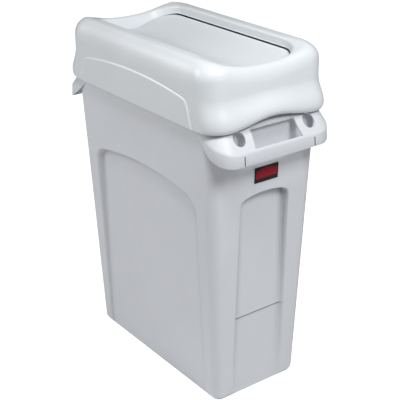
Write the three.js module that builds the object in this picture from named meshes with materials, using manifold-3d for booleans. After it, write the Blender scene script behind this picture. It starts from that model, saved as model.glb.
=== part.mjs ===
// Swing lid recycling bin: a slim tapered container with a visor handle at each end,
// and a saddle-shaped hood that carries a swinging door on two pins.
// Millimetres, +Z up. X is the width, Y the length, and the badge end faces -Y.
import * as THREE from "three";
import { mergeVertices } from "three/addons/utils/BufferGeometryUtils.js";
import Module from "manifold-3d";

const wasm = await Module();
wasm.setup();

// Clearance between pieces that touch, and how far a cutter reaches past what it cuts
const FIT_GAP = 0.3;
const OVERRUN = 6;
const SMALL_OVERRUN = 1.5;

// Container
const WALL = 3;
const BODY_HEIGHT = 632;
const FLOOR_THICKNESS = 4.5;
const TAPER_DROP = 28;
const TAPER_HEIGHT = BODY_HEIGHT - TAPER_DROP;
const TOP_HALF_WIDTH = 133.6;
const TOP_HALF_LENGTH = 241;
const SIDE_TAPER = 28;
const END_TAPER = 20.1;
const BASE_HALF_WIDTH = TOP_HALF_WIDTH - SIDE_TAPER;
const BASE_HALF_LENGTH = TOP_HALF_LENGTH - END_TAPER;
const BASE_CORNER_RADIUS = 20;
const TOP_CORNER_RADIUS = 31;
const PLINTH_HEIGHT = 6;
const PLINTH_INSET = 4.6;
const FOOT_ROUNDING = 5;
const FOOT_ROUNDING_INSET = 1.6;

// Rim that the hood sits over
const RIM_DEPTH = 23;
const RIM_FOOT_HEIGHT = BODY_HEIGHT - RIM_DEPTH;
const RIM_PROUD = 1.8;

// Arched recess in each end wall, with a step across it
const END_RECESS_TOP_MARGIN = 182;
const END_RECESS_CROWN = BODY_HEIGHT - END_RECESS_TOP_MARGIN;
const END_RECESS_ARCH_DROP = 10;
const END_RECESS_HALF_WIDTH = 57;
const END_RECESS_TOP_RUN = 3.5;
const END_RECESS_FOOT_RUN = 11.5;
const END_RECESS_FOOT_DEPTH = 3.7;
const END_RECESS_TOP_DEPTH = 13.9;
const END_RECESS_CORNER_RADIUS = 11;
const STEP_HEIGHT = 182;
const STEP_FOOT_DEPTH = 3.8;

// Arched recess in each long wall
const LONG_RECESS_TOP_MARGIN = 164;
const LONG_RECESS_CROWN = BODY_HEIGHT - LONG_RECESS_TOP_MARGIN;
const LONG_RECESS_ARCH_DROP = 20;
const LONG_RECESS_POST = 35;
const LONG_RECESS_RIM_HALF_LENGTH = BASE_HALF_LENGTH - LONG_RECESS_POST;
const LONG_RECESS_TOP_RUN = 20;
const LONG_RECESS_FOOT_RUN = 9;
const LONG_RECESS_CORNER_RADIUS = 22;
const LONG_RECESS_FOOT_DEPTH = 4.4;
const LONG_RECESS_TOP_DEPTH = 12.3;

// Vent channels, each between a pair of fins on the inside of the long walls
const CHANNEL_POST_GAP = 36;
const CHANNEL_CENTRE = LONG_RECESS_RIM_HALF_LENGTH - CHANNEL_POST_GAP;
const CHANNEL_WIDTH = 22;
const CHANNEL_DEPTH = 9;
const CHANNEL_TOP_MARGIN = 77;
const CHANNEL_TOP = BODY_HEIGHT - CHANNEL_TOP_MARGIN;
const FIN_THICKNESS = 2.6;

// Handles, one at each end, moulded with the container
const GRIP_SIDE_REACH = 3.4;
const GRIP_REACH = 36;
const GRIP_HALF_WIDTH = TOP_HALF_WIDTH + GRIP_SIDE_REACH;
const GRIP_HALF_LENGTH = TOP_HALF_LENGTH + GRIP_REACH;
const GRIP_CORNER_RADIUS = 38;
const GRIP_TAIL = 42;
const GRIP_SHEET = 3.2;
const GRIP_SHEET_DROP = 5.6;
const GRIP_ROOT_SINK = 1.6;
const GRIP_CROWN_DROP = 21;
const GRIP_SHOULDER_DROP = 32;
const GRIP_RAMP_DROP = 50.5;
const GRIP_ROOT_CROWN = BODY_HEIGHT - GRIP_CROWN_DROP;
const GRIP_ROOT_SHOULDER = BODY_HEIGHT - GRIP_SHOULDER_DROP;
const GRIP_EDGE_HEIGHT = GRIP_ROOT_CROWN - GRIP_RAMP_DROP;
const GRIP_EDGE_RISE = 33;
const APRON_DEPTH = 22.5;
const GRIP_FOOT_HEIGHT = GRIP_EDGE_HEIGHT - APRON_DEPTH;
const GRIP_FOOT_RISE = 51;
const GRIP_EDGE_ROUNDING = 2;
const APRON_KICK = 2.4;
const APRON_TUCK = 1;
const EDGE_START_SHARE = 0.47;
const EDGE_RISE_POWER = 1.3;
const FOOT_START_SHARE = 0.52;
const FOOT_RISE_POWER = 1.9;
const TAIL_SHEET_SHARE = 0.6;

// Openings in the handles
const HAND_HOLE_TOP_HALF_WIDTH = 53.5;
const HAND_HOLE_FOOT_HALF_WIDTH = 57.5;
const HAND_HOLE_ROOT_GAP = 9.6;
const HAND_HOLE_INNER = TOP_HALF_LENGTH + HAND_HOLE_ROOT_GAP;
const HAND_HOLE_OUTER = GRIP_HALF_LENGTH - GRIP_SHEET;
const HAND_HOLE_CORNER_RADIUS = 6;
const CINCH_OFFSET = 85.2;
const CINCH_EDGE_GAP = 20;
const CINCH_REACH = GRIP_HALF_LENGTH - CINCH_EDGE_GAP;
const CINCH_DIAMETER = 29;
const CINCH_DEPTH = 14;
const SLIT_OFFSET = 85;
const SLIT_WIDTH = 2.4;

// Hood skirt
const HOOD_SHEET = 3;
const HOOD_SIDE_CLEARANCE = 8.9;
const HOOD_END_CLEARANCE = 3.6;
const HOOD_HALF_WIDTH = TOP_HALF_WIDTH + HOOD_SIDE_CLEARANCE;
const HOOD_HALF_LENGTH = TOP_HALF_LENGTH + HOOD_END_CLEARANCE;
const HOOD_CORNER_RADIUS = 42;
const HOOD_LAP = 33;
const HOOD_FOOT_HEIGHT = BODY_HEIGHT - HOOD_LAP;
const HOOD_FOOT_ARCH = 13.5;
const HOOD_FOOT_ARCH_HALF_WIDTH = 104;
const HOOD_FLARE = 15.9;
const HOOD_SIDE_FLARE = 2;
const FLARE_RISE = 43;
const FLARE_TOP_HEIGHT = HOOD_FOOT_HEIGHT + FLARE_RISE;

// Hood top
const HOOD_RISE = 91.5;
const RIDGE_HEIGHT = BODY_HEIGHT + HOOD_RISE;
const RIDGE_INSET = 25;
const RIDGE_HALF_WIDTH = HOOD_HALF_WIDTH - RIDGE_INSET;
const CREST_DIP = 18.3;
const CREST_DIP_MARGIN = 7.5;
const CREST_DIP_HALF_WIDTH = RIDGE_HALF_WIDTH - CREST_DIP_MARGIN;
const CREST_DIP_POWER = 2.3;
const CREST_INSET = 16.6;
const CREST_HALF_LENGTH = HOOD_HALF_LENGTH - CREST_INSET;
const CREST_CORNER_RADIUS = 52;
const SHOULDER_BLEND_LEAD = 8;
const SHOULDER_BLEND_LENGTH = 68;
const LONG_SHOULDER_DROP = 48;
const END_SHOULDER_DROP = 18;
const SHOULDER_BLEND_START = CREST_HALF_LENGTH - CREST_CORNER_RADIUS - SHOULDER_BLEND_LEAD;
const SHOULDER_BLEND_END = SHOULDER_BLEND_START + SHOULDER_BLEND_LENGTH;
const CREST_DIP_LEAD = 78;
const CREST_DIP_RUNOUT = 13;
const CREST_DIP_START = CREST_HALF_LENGTH - CREST_DIP_LEAD;
const CREST_DIP_END = CREST_HALF_LENGTH - CREST_DIP_RUNOUT;
const RIDGE_CREST_WIDTH = 18.9;
const RIDGE_INNER_HALF_WIDTH = RIDGE_HALF_WIDTH - RIDGE_CREST_WIDTH;
const CREST_ROUNDING = 5;
const CREST_EDGE_SHARE = 0.3;
const CREST_END_WIDTH = 7;
const SLOPE_START = CREST_HALF_LENGTH - CREST_END_WIDTH;
const SLOPE_ROUNDING = 5.5;
const SLOPE_CORNER_RADIUS = 51;

// Shelf inside the hood that rests on the rim
const SHELF_WIDTH = 8;
const SHELF_THICKNESS = 2.5;

// Raised panel on each long side of the hood
const PAD_PROUD = 2;
const PAD_END_MARGIN = 46.6;
const PAD_LEAN = 15;
const PAD_CORNER = 13;
const PAD_SIDE_RISE = 41;
const PAD_ARCH_RISE = 13;
const PAD_FOOT_HALF_LENGTH = HOOD_HALF_LENGTH - PAD_END_MARGIN;
const PAD_BEND_HALF_LENGTH = PAD_FOOT_HALF_LENGTH - PAD_LEAN;
const PAD_BEND_HEIGHT = HOOD_FOOT_HEIGHT + PAD_SIDE_RISE;
const PAD_SHOULDER_HALF_LENGTH = PAD_BEND_HALF_LENGTH - PAD_CORNER;
const PAD_SHOULDER_HEIGHT = PAD_BEND_HEIGHT + PAD_CORNER;
const PAD_CROWN_HEIGHT = PAD_SHOULDER_HEIGHT + PAD_ARCH_RISE;

// Door
const DOOR_GAP = 2.4;
const DOOR_SIDE_LEDGE = 0.4;
const DOOR_SLOPE_RUN = 4.1;
const DOOR_HALF_WIDTH = RIDGE_INNER_HALF_WIDTH - DOOR_SIDE_LEDGE - DOOR_GAP;
const DOOR_HALF_LENGTH = SLOPE_START - DOOR_SLOPE_RUN - DOOR_GAP;
const DOOR_CORNER_RADIUS = 44;
const DOOR_SINK = 20;
const DOOR_EDGE_HEIGHT = RIDGE_HEIGHT - DOOR_SINK;
const DOOR_SHEET = 3;
const DOOR_FLANGE = 9;
const DOOR_LIP_RISE = 1.5;
const VALLEY_DEPTH = 24;
const VALLEY_ROUNDING = 14;

// Pins that the door swings on
const PIVOT_DROP = 12.5;
const PIVOT_HEIGHT = DOOR_EDGE_HEIGHT - VALLEY_DEPTH - PIVOT_DROP;
const PIN_DIAMETER = 8;
const PIN_HEAD_DIAMETER = 14;
const PIN_HEAD_THICKNESS = 3;
const PIN_TIP_INSET = 8;
const PIN_TIP_REACH = DOOR_HALF_LENGTH - PIN_TIP_INSET;
const EAR_THICKNESS = 5;
const EAR_HALF_WIDTH = 13;
const GABLE_GAP = 5;
const GABLE_REACH = DOOR_HALF_LENGTH + GABLE_GAP;
const GABLE_THICKNESS = 4;
const GABLE_HALF_WIDTH = 16;
const GABLE_FOOT_DROP = 14;
const GABLE_FOOT_HEIGHT = PIVOT_HEIGHT - GABLE_FOOT_DROP;
const GABLE_HEIGHT = 30;
const GABLE_RIB_THICKNESS = 3;

// Counterweight bar and the clips that hold it
const BAR_DIAMETER = 12;
const BAR_END_MARGIN = 53;
const BAR_HALF_LENGTH = DOOR_HALF_LENGTH - BAR_END_MARGIN;
const BAR_DROP = 29;
const BAR_HEIGHT = PIVOT_HEIGHT - BAR_DROP;
const CLIP_BAR_MARGIN = 35;
const CLIP_REACH = BAR_HALF_LENGTH - CLIP_BAR_MARGIN;
const CLIP_THICKNESS = 4;
const CLIP_TOP_HALF_WIDTH = 20;
const CLIP_FOOT_HALF_WIDTH = 11;
const CLIP_WALL = 4;
const CLIP_MOUTH_WIDTH = 9;

// Badge
const BADGE_WIDTH = 58;
const BADGE_HEIGHT = 32;
const BADGE_TOP_MARGIN = 140;
const BADGE_CENTRE_HEIGHT = BODY_HEIGHT - BADGE_TOP_MARGIN;
const BADGE_THICKNESS = 1.2;

// Colours
const BODY_GREY = 0xbfc3c8;
const HOOD_GREY = 0xd3d6da;
const DOOR_GREY = 0xc9ccd0;
const STEEL_GREY = 0x9a9da1;
const BADGE_RED = 0x6c1620;

// Facets: where the stations stand along a straight side, and how many steps a curve has
const PLAIN_SHARES = [0];
const LONG_SHARES = [0, 0.55, 0.84, 0.94];
const END_SHARES = [0.8, 0.6, 0.4, 0.2];
const CORNER_STEPS = 7;
const ARCH_STEPS = 7;
const SHOULDER_STEPS = 6;
const HOLE_STEPS = 24;
const VALLEY_STEPS = 9;

// Shape helpers
function mix(a, b, share) {
  return a + (b - a) * share;
}

function smooth(value, start, end) {
  const share = Math.min(Math.max((value - start) / (end - start), 0), 1);
  return share * share * (3 - 2 * share);
}

function toSolid(geometry) {
  geometry.deleteAttribute("normal");
  geometry.deleteAttribute("uv");
  const merged = mergeVertices(geometry);
  const mesh = new wasm.Mesh({
    numProp: 3,
    vertProperties: new Float32Array(merged.attributes.position.array),
    triVerts: new Uint32Array(merged.index.array),
  });
  return new wasm.Manifold(mesh);
}

function toMesh(solid, name, color, roughness, metalness) {
  const mesh = solid.getMesh();
  const geometry = new THREE.BufferGeometry();
  geometry.setAttribute("position", new THREE.BufferAttribute(mesh.vertProperties, 3));
  geometry.setIndex(new THREE.BufferAttribute(mesh.triVerts, 1));
  const flat = geometry.toNonIndexed();
  flat.computeVertexNormals();
  const material = new THREE.MeshStandardMaterial({ color, roughness, metalness });
  const result = new THREE.Mesh(flat, material);
  result.name = name;
  return result;
}

function joined(solids) {
  return solids.reduce((whole, solid) => whole.add(solid));
}

function without(solid, cutters) {
  return cutters.reduce((rest, cutter) => rest.subtract(cutter), solid);
}

// The same solid at both ends, or on both sides, of the object
function bothEnds(solid) {
  return [solid, solid.rotate([0, 0, 180])];
}

function allCorners(solid) {
  return [...bothEnds(solid), ...bothEnds(solid.mirror([1, 0, 0]))];
}

// One closed row of points round a rounded rectangle, counter-clockwise from above.
// The height may depend on where the point is.
function ring(halfWidth, halfLength, radius, height, longShares, endShares) {
  const straight = halfLength - radius;
  const level = halfWidth - radius;
  const quarter = longShares.map((share) => [halfWidth, straight * share]);
  for (let i = 0; i <= CORNER_STEPS; i++) {
    const angle = (Math.PI / 2) * (i / CORNER_STEPS);
    quarter.push([level + radius * Math.cos(angle), straight + radius * Math.sin(angle)]);
  }
  endShares.forEach((share) => quarter.push([level * share, halfLength]));
  const turnedBack = [...quarter].reverse();
  const corner = quarter.slice(1);
  const cornerBack = turnedBack.slice(0, -1);
  const outline = [
    ...quarter,
    [0, halfLength],
    ...cornerBack.map(([x, y]) => [-x, y]),
    [-halfWidth, 0],
    ...corner.map(([x, y]) => [-x, -y]),
    [0, -halfLength],
    ...cornerBack.map(([x, y]) => [x, -y]),
  ];
  return outline.map(([x, y]) => {
    const z = typeof height === "function" ? height(Math.abs(x), Math.abs(y)) : height;
    return new THREE.Vector3(x, y, z);
  });
}

// Faces between rows of points. A row may close on itself, and so may the stack of rows.
function skin(rows, rowCloses, stackCloses) {
  const count = rows[0].length;
  const positions = [];
  const index = [];
  rows.forEach((row) => row.forEach((p) => positions.push(p.x, p.y, p.z)));
  const at = (r, c) => (r % rows.length) * count + (c % count);
  const rowSteps = stackCloses ? rows.length : rows.length - 1;
  const columnSteps = rowCloses ? count : count - 1;
  for (let r = 0; r < rowSteps; r++) {
    for (let c = 0; c < columnSteps; c++) {
      index.push(at(r, c), at(r, c + 1), at(r + 1, c + 1));
      index.push(at(r, c), at(r + 1, c + 1), at(r + 1, c));
    }
  }
  return { positions, index, count };
}

function solidFrom(positions, index) {
  const geometry = new THREE.BufferGeometry();
  geometry.setAttribute("position", new THREE.Float32BufferAttribute(positions, 3));
  geometry.setIndex(index);
  return toSolid(geometry);
}

// A stack of rows with a cap over its first and last row, which are fanned from their first point
function capped(rows) {
  const { positions, index, count } = skin(rows, true, false);
  const last = (rows.length - 1) * count;
  for (let i = 1; i < count - 1; i++) {
    index.push(0, i + 1, i);
    index.push(last, last + i, last + i + 1);
  }
  return solidFrom(positions, index);
}

function facingOut(rows) {
  const solid = capped(rows);
  return solid.volume() > 0 ? solid : capped(rows.map((row) => [...row].reverse()));
}

function box(sizeX, sizeY, sizeZ, x, y, z) {
  const geometry = new THREE.BoxGeometry(sizeX, sizeY, sizeZ);
  geometry.translate(x, y, z);
  return toSolid(geometry);
}

// A round bar along Y
function rod(diameter, start, end, x, z) {
  const geometry = new THREE.CylinderGeometry(diameter / 2, diameter / 2, end - start, HOLE_STEPS);
  geometry.translate(x, (start + end) / 2, z);
  return toSolid(geometry);
}

// A plate that stands across Y, from an outline of [x, z] points
function plateAcross(outline, start, end) {
  const row = (y) => outline.map(([x, z]) => new THREE.Vector3(x, y, z));
  return facingOut([row(start), row(end)]);
}

// Container skin at a height
function skinHalfWidth(z) {
  return mix(BASE_HALF_WIDTH, TOP_HALF_WIDTH, z / TAPER_HEIGHT);
}

function skinHalfLength(z) {
  return mix(BASE_HALF_LENGTH, TOP_HALF_LENGTH, z / TAPER_HEIGHT);
}

function skinRing(z, inset) {
  const radius = mix(BASE_CORNER_RADIUS, TOP_CORNER_RADIUS, z / TAPER_HEIGHT) - inset;
  return ring(skinHalfWidth(z) - inset, skinHalfLength(z) - inset, radius, z, PLAIN_SHARES, PLAIN_SHARES);
}

// Arched outline for a recess: across and up, with the reach filled in by a function of height
function archRow(topHalf, footHalf, crown, drop, radius, footHeight, place) {
  const shoulder = crown - drop;
  const half = [[footHalf, footHeight]];
  for (let i = 0; i <= CORNER_STEPS; i++) {
    const angle = (Math.PI / 2) * (i / CORNER_STEPS);
    const across = topHalf - radius * (1 - Math.cos(angle));
    half.push([across, shoulder - radius * (1 - Math.sin(angle))]);
  }
  const archHalf = topHalf - radius;
  for (let i = 1; i < ARCH_STEPS; i++) {
    const across = archHalf * (1 - i / ARCH_STEPS);
    const lift = 1 - (across / archHalf) ** 2;
    half.push([across, shoulder + drop * lift]);
  }
  const back = [...half].reverse().map(([across, z]) => [-across, z]);
  return [...half, [0, crown], ...back].map(([across, z]) => place(across, z));
}

// Recess in the -Y end wall. A margin grows it on all sides, which leaves the wall behind it.
function endRecess(margin) {
  const footReach = skinHalfLength(0) - END_RECESS_FOOT_DEPTH;
  const topReach = skinHalfLength(END_RECESS_CROWN) - END_RECESS_TOP_DEPTH;
  const reach = (z) => mix(footReach, topReach, z / END_RECESS_CROWN) - margin;
  const topHalf = END_RECESS_HALF_WIDTH + margin;
  const crown = END_RECESS_CROWN + margin;
  const radius = END_RECESS_CORNER_RADIUS;
  const foot = -OVERRUN;
  const inner = archRow(topHalf, topHalf, crown - END_RECESS_TOP_RUN, END_RECESS_ARCH_DROP, radius, foot,
    (x, z) => new THREE.Vector3(x, -reach(z), z));
  const outer = archRow(topHalf + END_RECESS_TOP_RUN, topHalf + END_RECESS_FOOT_RUN, crown,
    END_RECESS_ARCH_DROP, radius, foot,
    (x, z) => new THREE.Vector3(x, -skinHalfLength(z) - SMALL_OVERRUN, z));
  const stepTop = STEP_HEIGHT + margin;
  const stepReach = skinHalfLength(0) - STEP_FOOT_DEPTH;
  const stepDepth = skinHalfLength(STEP_HEIGHT) - stepReach;
  const stepHeight = stepTop + OVERRUN;
  const step = box(topHalf * 2, stepDepth, stepHeight,
    0, -(stepReach - margin) - stepDepth / 2, stepTop - stepHeight / 2);
  return facingOut([inner, outer]).add(step);
}

// How far out the recessed panel of a long wall is at a height
function longPanelReach(z) {
  const footReach = skinHalfWidth(0) - LONG_RECESS_FOOT_DEPTH;
  const topReach = skinHalfWidth(LONG_RECESS_CROWN) - LONG_RECESS_TOP_DEPTH;
  return mix(footReach, topReach, z / LONG_RECESS_CROWN);
}

// Recess in the +X long wall
function longRecess(margin) {
  const reach = (z) => longPanelReach(z) - margin;
  const crown = LONG_RECESS_CROWN + margin;
  const radius = LONG_RECESS_CORNER_RADIUS;
  const foot = -OVERRUN;
  const rimHalf = LONG_RECESS_RIM_HALF_LENGTH + margin;
  const inner = archRow(rimHalf - LONG_RECESS_TOP_RUN, rimHalf - LONG_RECESS_FOOT_RUN,
    crown - LONG_RECESS_FOOT_RUN, LONG_RECESS_ARCH_DROP, radius, foot,
    (y, z) => new THREE.Vector3(reach(z), y, z));
  const outer = archRow(rimHalf + SMALL_OVERRUN, rimHalf + SMALL_OVERRUN, crown,
    LONG_RECESS_ARCH_DROP, radius, foot,
    (y, z) => new THREE.Vector3(skinHalfWidth(z) + SMALL_OVERRUN, y, z));
  return facingOut([inner, outer]);
}

// A fin on the +X wall at a distance along the wall, reaching in from the recess panel
function fin(y) {
  const inner = (z) => longPanelReach(z) - WALL - CHANNEL_DEPTH;
  const outer = (z) => skinHalfWidth(z) - WALL / 2;
  const foot = FLOOR_THICKNESS - SMALL_OVERRUN;
  const row = (across) => [
    new THREE.Vector3(inner(foot), across, foot),
    new THREE.Vector3(outer(foot), across, foot),
    new THREE.Vector3(outer(CHANNEL_TOP), across, CHANNEL_TOP),
    new THREE.Vector3(inner(CHANNEL_TOP), across, CHANNEL_TOP - CHANNEL_DEPTH),
  ];
  return facingOut([row(y - FIN_THICKNESS / 2), row(y + FIN_THICKNESS / 2)]);
}

// Handle outline: half of it, from the middle of the -Y end round the corner and along the side
function gripStations() {
  const straight = GRIP_HALF_WIDTH - GRIP_CORNER_RADIUS;
  const arc = GRIP_CORNER_RADIUS * (Math.PI / 2);
  const whole = straight + arc + GRIP_TAIL;
  const stations = PLAIN_SHARES.map(() => ({ x: 0, y: -GRIP_HALF_LENGTH, nx: 0, ny: -1, along: 0 }));
  const centreY = GRIP_HALF_LENGTH - GRIP_CORNER_RADIUS;
  for (let i = 0; i <= CORNER_STEPS + 1; i++) {
    const share = i / (CORNER_STEPS + 1);
    const angle = (Math.PI / 2) * share;
    const nx = Math.sin(angle);
    const ny = -Math.cos(angle);
    const x = straight + GRIP_CORNER_RADIUS * nx;
    const y = -centreY + GRIP_CORNER_RADIUS * ny;
    stations.push({ x, y, nx, ny, along: straight + arc * share });
  }
  for (let i = 1; i <= ARCH_STEPS; i++) {
    const share = i / ARCH_STEPS;
    const flush = skinHalfWidth(GRIP_ROOT_SHOULDER);
    const x = mix(GRIP_HALF_WIDTH, flush, share ** 2);
    stations.push({ x, y: -centreY + GRIP_TAIL * share, nx: 1, ny: 0, along: straight + arc + GRIP_TAIL * share });
  }
  stations.forEach((station) => {
    station.share = station.along / whole;
  });
  return stations;
}

// Where a handle joins the container: the nearest point of the skin, sunk a little into the wall
function gripRoot(station) {
  const halfWidth = skinHalfWidth(TAPER_HEIGHT) - GRIP_ROOT_SINK;
  const halfLength = skinHalfLength(TAPER_HEIGHT) - GRIP_ROOT_SINK;
  const radius = TOP_CORNER_RADIUS - GRIP_ROOT_SINK;
  const cornerX = halfWidth - radius;
  const cornerY = halfLength - radius;
  const overX = Math.max(station.x - cornerX, 0);
  const overY = Math.max(-station.y - cornerY, 0);
  const length = Math.hypot(overX, overY);
  const x = Math.min(station.x, cornerX) + (radius * overX) / length;
  const y = -Math.min(-station.y, cornerY) - (radius * overY) / length;
  return { x, y };
}

function rise(share, startShare, power) {
  return (Math.max(share - startShare, 0) / (1 - startShare)) ** power;
}

function gripSection(station) {
  const { x, y, nx, ny, share } = station;
  const root = gripRoot(station);
  const reach = Math.hypot(x - root.x, y - root.y);
  const sheet = Math.min(GRIP_SHEET, reach * TAIL_SHEET_SHARE);
  const rootTop = mix(GRIP_ROOT_CROWN, GRIP_ROOT_SHOULDER, smooth(share, FOOT_START_SHARE, 1));
  const edge = GRIP_EDGE_HEIGHT + GRIP_EDGE_RISE * rise(share, EDGE_START_SHARE, EDGE_RISE_POWER);
  const foot = GRIP_FOOT_HEIGHT + GRIP_FOOT_RISE * rise(share, FOOT_START_SHARE, FOOT_RISE_POWER);
  const kick = APRON_KICK * (1 - share ** 2);
  const slope = (rootTop - edge) / reach;
  const rounding = Math.min(GRIP_EDGE_ROUNDING, sheet / 2);
  const at = (out, z) => new THREE.Vector3(x + nx * out, y + ny * out, z);
  return [
    new THREE.Vector3(root.x, root.y, rootTop),
    at(-rounding, edge + slope * rounding),
    at(0, edge - rounding / 2),
    at(kick, foot),
    at(kick - sheet, foot),
    at(-sheet, edge + slope * sheet - GRIP_SHEET_DROP + sheet / 2),
    new THREE.Vector3(root.x, root.y, rootTop - GRIP_SHEET_DROP - sheet / 2),
  ];
}

function grip() {
  const half = gripStations().map(gripSection);
  const mirrored = half.slice(1).reverse();
  const left = mirrored.map((row) => row.map((p) => new THREE.Vector3(-p.x, p.y, p.z)));
  return facingOut([...left, ...half]);
}

function handHole() {
  const top = GRIP_ROOT_CROWN + OVERRUN;
  const foot = GRIP_FOOT_HEIGHT + OVERRUN;
  const radius = HAND_HOLE_CORNER_RADIUS;
  const half = [[HAND_HOLE_FOOT_HALF_WIDTH, -HAND_HOLE_OUTER]];
  for (let i = 0; i <= CORNER_STEPS; i++) {
    const angle = (Math.PI / 2) * (i / CORNER_STEPS);
    const x = HAND_HOLE_TOP_HALF_WIDTH - radius * (1 - Math.cos(angle));
    half.push([x, -HAND_HOLE_INNER - radius * (1 - Math.sin(angle))]);
  }
  const back = [...half].reverse().map(([x, y]) => [-x, y]);
  const row = (z) => [...half, ...back].map(([x, y]) => new THREE.Vector3(x, y, z));
  return facingOut([row(foot), row(top)]);
}

// Round hole square to the sloping top of the handle
function cinchCutter() {
  const slope = Math.atan2(GRIP_ROOT_CROWN - GRIP_EDGE_HEIGHT, GRIP_HALF_LENGTH - TOP_HALF_LENGTH);
  const geometry = new THREE.CylinderGeometry(CINCH_DIAMETER / 2, CINCH_DIAMETER / 2, CINCH_DEPTH, HOLE_STEPS);
  geometry.rotateX(Math.PI / 2 + slope);
  const surface = GRIP_EDGE_HEIGHT + Math.tan(slope) * (GRIP_HALF_LENGTH - CINCH_REACH);
  geometry.translate(CINCH_OFFSET, -CINCH_REACH, surface);
  return toSolid(geometry);
}

function slitCutter() {
  const height = GRIP_EDGE_HEIGHT - GRIP_FOOT_HEIGHT;
  const middle = GRIP_FOOT_HEIGHT + height / 2 - SMALL_OVERRUN;
  return box(SLIT_WIDTH, GRIP_SHEET * 4, height, SLIT_OFFSET, -GRIP_HALF_LENGTH, middle);
}

function container() {
  const shell = capped([
    skinRing(0, PLINTH_INSET),
    skinRing(PLINTH_HEIGHT, PLINTH_INSET),
    skinRing(PLINTH_HEIGHT, FOOT_ROUNDING_INSET),
    skinRing(PLINTH_HEIGHT + FOOT_ROUNDING, 0),
    skinRing(RIM_FOOT_HEIGHT, 0),
    skinRing(RIM_FOOT_HEIGHT, -RIM_PROUD),
    skinRing(BODY_HEIGHT, -RIM_PROUD),
  ]);
  const cavityFoot = PLINTH_INSET + WALL;
  const cavity = capped([
    skinRing(FLOOR_THICKNESS, cavityFoot),
    skinRing(PLINTH_HEIGHT + WALL, cavityFoot),
    skinRing(PLINTH_HEIGHT + FOOT_ROUNDING + WALL, WALL),
    skinRing(BODY_HEIGHT + OVERRUN, WALL),
  ]);
  const recesses = [...bothEnds(endRecess(0)), ...bothEnds(longRecess(0))];
  const walls = [...bothEnds(endRecess(WALL)), ...bothEnds(longRecess(WALL))];
  const outside = without(shell, recesses);
  const inside = without(cavity, walls);
  const grips = without(grip(), [handHole(), cinchCutter(), cinchCutter().mirror([1, 0, 0]),
    slitCutter(), slitCutter().mirror([1, 0, 0])]);
  const finPitch = (CHANNEL_WIDTH + FIN_THICKNESS) / 2;
  const fins = [
    ...allCorners(fin(CHANNEL_CENTRE - finPitch)),
    ...allCorners(fin(CHANNEL_CENTRE + finPitch)),
  ];
  const hollow = outside.subtract(inside);
  const trimmed = fins.map((solid) => solid.intersect(outside));
  return joined([hollow, ...bothEnds(grips), ...trimmed]);
}

// Height of the door's top face across the width: two flat wings and a rounded valley
function doorTop(x) {
  const rounded = (across) => Math.hypot(across, VALLEY_ROUNDING) - VALLEY_ROUNDING;
  return DOOR_EDGE_HEIGHT - VALLEY_DEPTH * (1 - rounded(Math.abs(x)) / rounded(DOOR_HALF_WIDTH));
}

// How far a place is from the long sides and towards the ends: 0 on the sides, 1 at the ends
function endShare(y) {
  return smooth(y, SHOULDER_BLEND_START, SHOULDER_BLEND_END);
}

function footHeight(x, y) {
  const share = Math.min(x / HOOD_FOOT_ARCH_HALF_WIDTH, 1);
  const lift = y > HOOD_HALF_LENGTH ? HOOD_FOOT_ARCH * (1 - smooth(share, 0, 1)) : 0;
  return HOOD_FOOT_HEIGHT + lift;
}

// The crest is level along the long sides and dips across the ends
function crestHeight(x, y) {
  const share = Math.min(x / CREST_DIP_HALF_WIDTH, 1);
  const atEnd = smooth(y, CREST_DIP_START, CREST_DIP_END);
  return RIDGE_HEIGHT - CREST_DIP * (1 - share ** CREST_DIP_POWER) * atEnd;
}

function shoulderFoot(x, y) {
  return mix(RIDGE_HEIGHT - LONG_SHOULDER_DROP, crestHeight(x, y) - END_SHOULDER_DROP, endShare(y));
}

function hoodRing(halfWidth, halfLength, radius, height) {
  return ring(halfWidth, halfLength, radius, height, LONG_SHARES, END_SHARES);
}

// Skirt profile: share of the flare, and height above the foot as a share of the way to the flare's top
function skirtRings(inset) {
  const flareShares = [0.74, 0.96, 1, 0.93, 0.62, 0.24, 0.05, 0];
  const heightShares = [0, 0.09, 0.2, 0.35, 0.53, 0.73, 0.89, 1];
  return flareShares.map((flareShare, i) => {
    const halfWidth = HOOD_HALF_WIDTH + HOOD_SIDE_FLARE * flareShare - inset;
    const halfLength = HOOD_HALF_LENGTH + HOOD_FLARE * flareShare - inset;
    const height = (x, y) => mix(footHeight(x, y), FLARE_TOP_HEIGHT, heightShares[i]);
    return hoodRing(halfWidth, halfLength, HOOD_CORNER_RADIUS - inset, height);
  });
}

// The rounded shoulder from the skirt up to the crest
function shoulderRings(inset) {
  const rings = [];
  for (let i = 0; i <= SHOULDER_STEPS; i++) {
    const angle = (Math.PI / 2) * (i / SHOULDER_STEPS);
    const inward = 1 - Math.cos(angle);
    const upward = Math.sin(angle);
    const height = (x, y) => {
      const foot = shoulderFoot(x, y);
      return mix(foot, crestHeight(x, y) - inset, upward);
    };
    rings.push(hoodRing(
      mix(HOOD_HALF_WIDTH - inset, RIDGE_HALF_WIDTH, inward),
      mix(HOOD_HALF_LENGTH - inset, CREST_HALF_LENGTH, inward),
      mix(HOOD_CORNER_RADIUS - inset, CREST_CORNER_RADIUS, inward),
      height,
    ));
  }
  return rings;
}

function openingRing(grow, drop) {
  const halfWidth = DOOR_HALF_WIDTH + DOOR_GAP + grow;
  const halfLength = DOOR_HALF_LENGTH + DOOR_GAP + grow;
  const height = (x) => doorTop(Math.min(x, DOOR_HALF_WIDTH)) + DOOR_LIP_RISE - drop;
  return hoodRing(halfWidth, halfLength, DOOR_CORNER_RADIUS + DOOR_GAP + grow, height);
}

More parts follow.
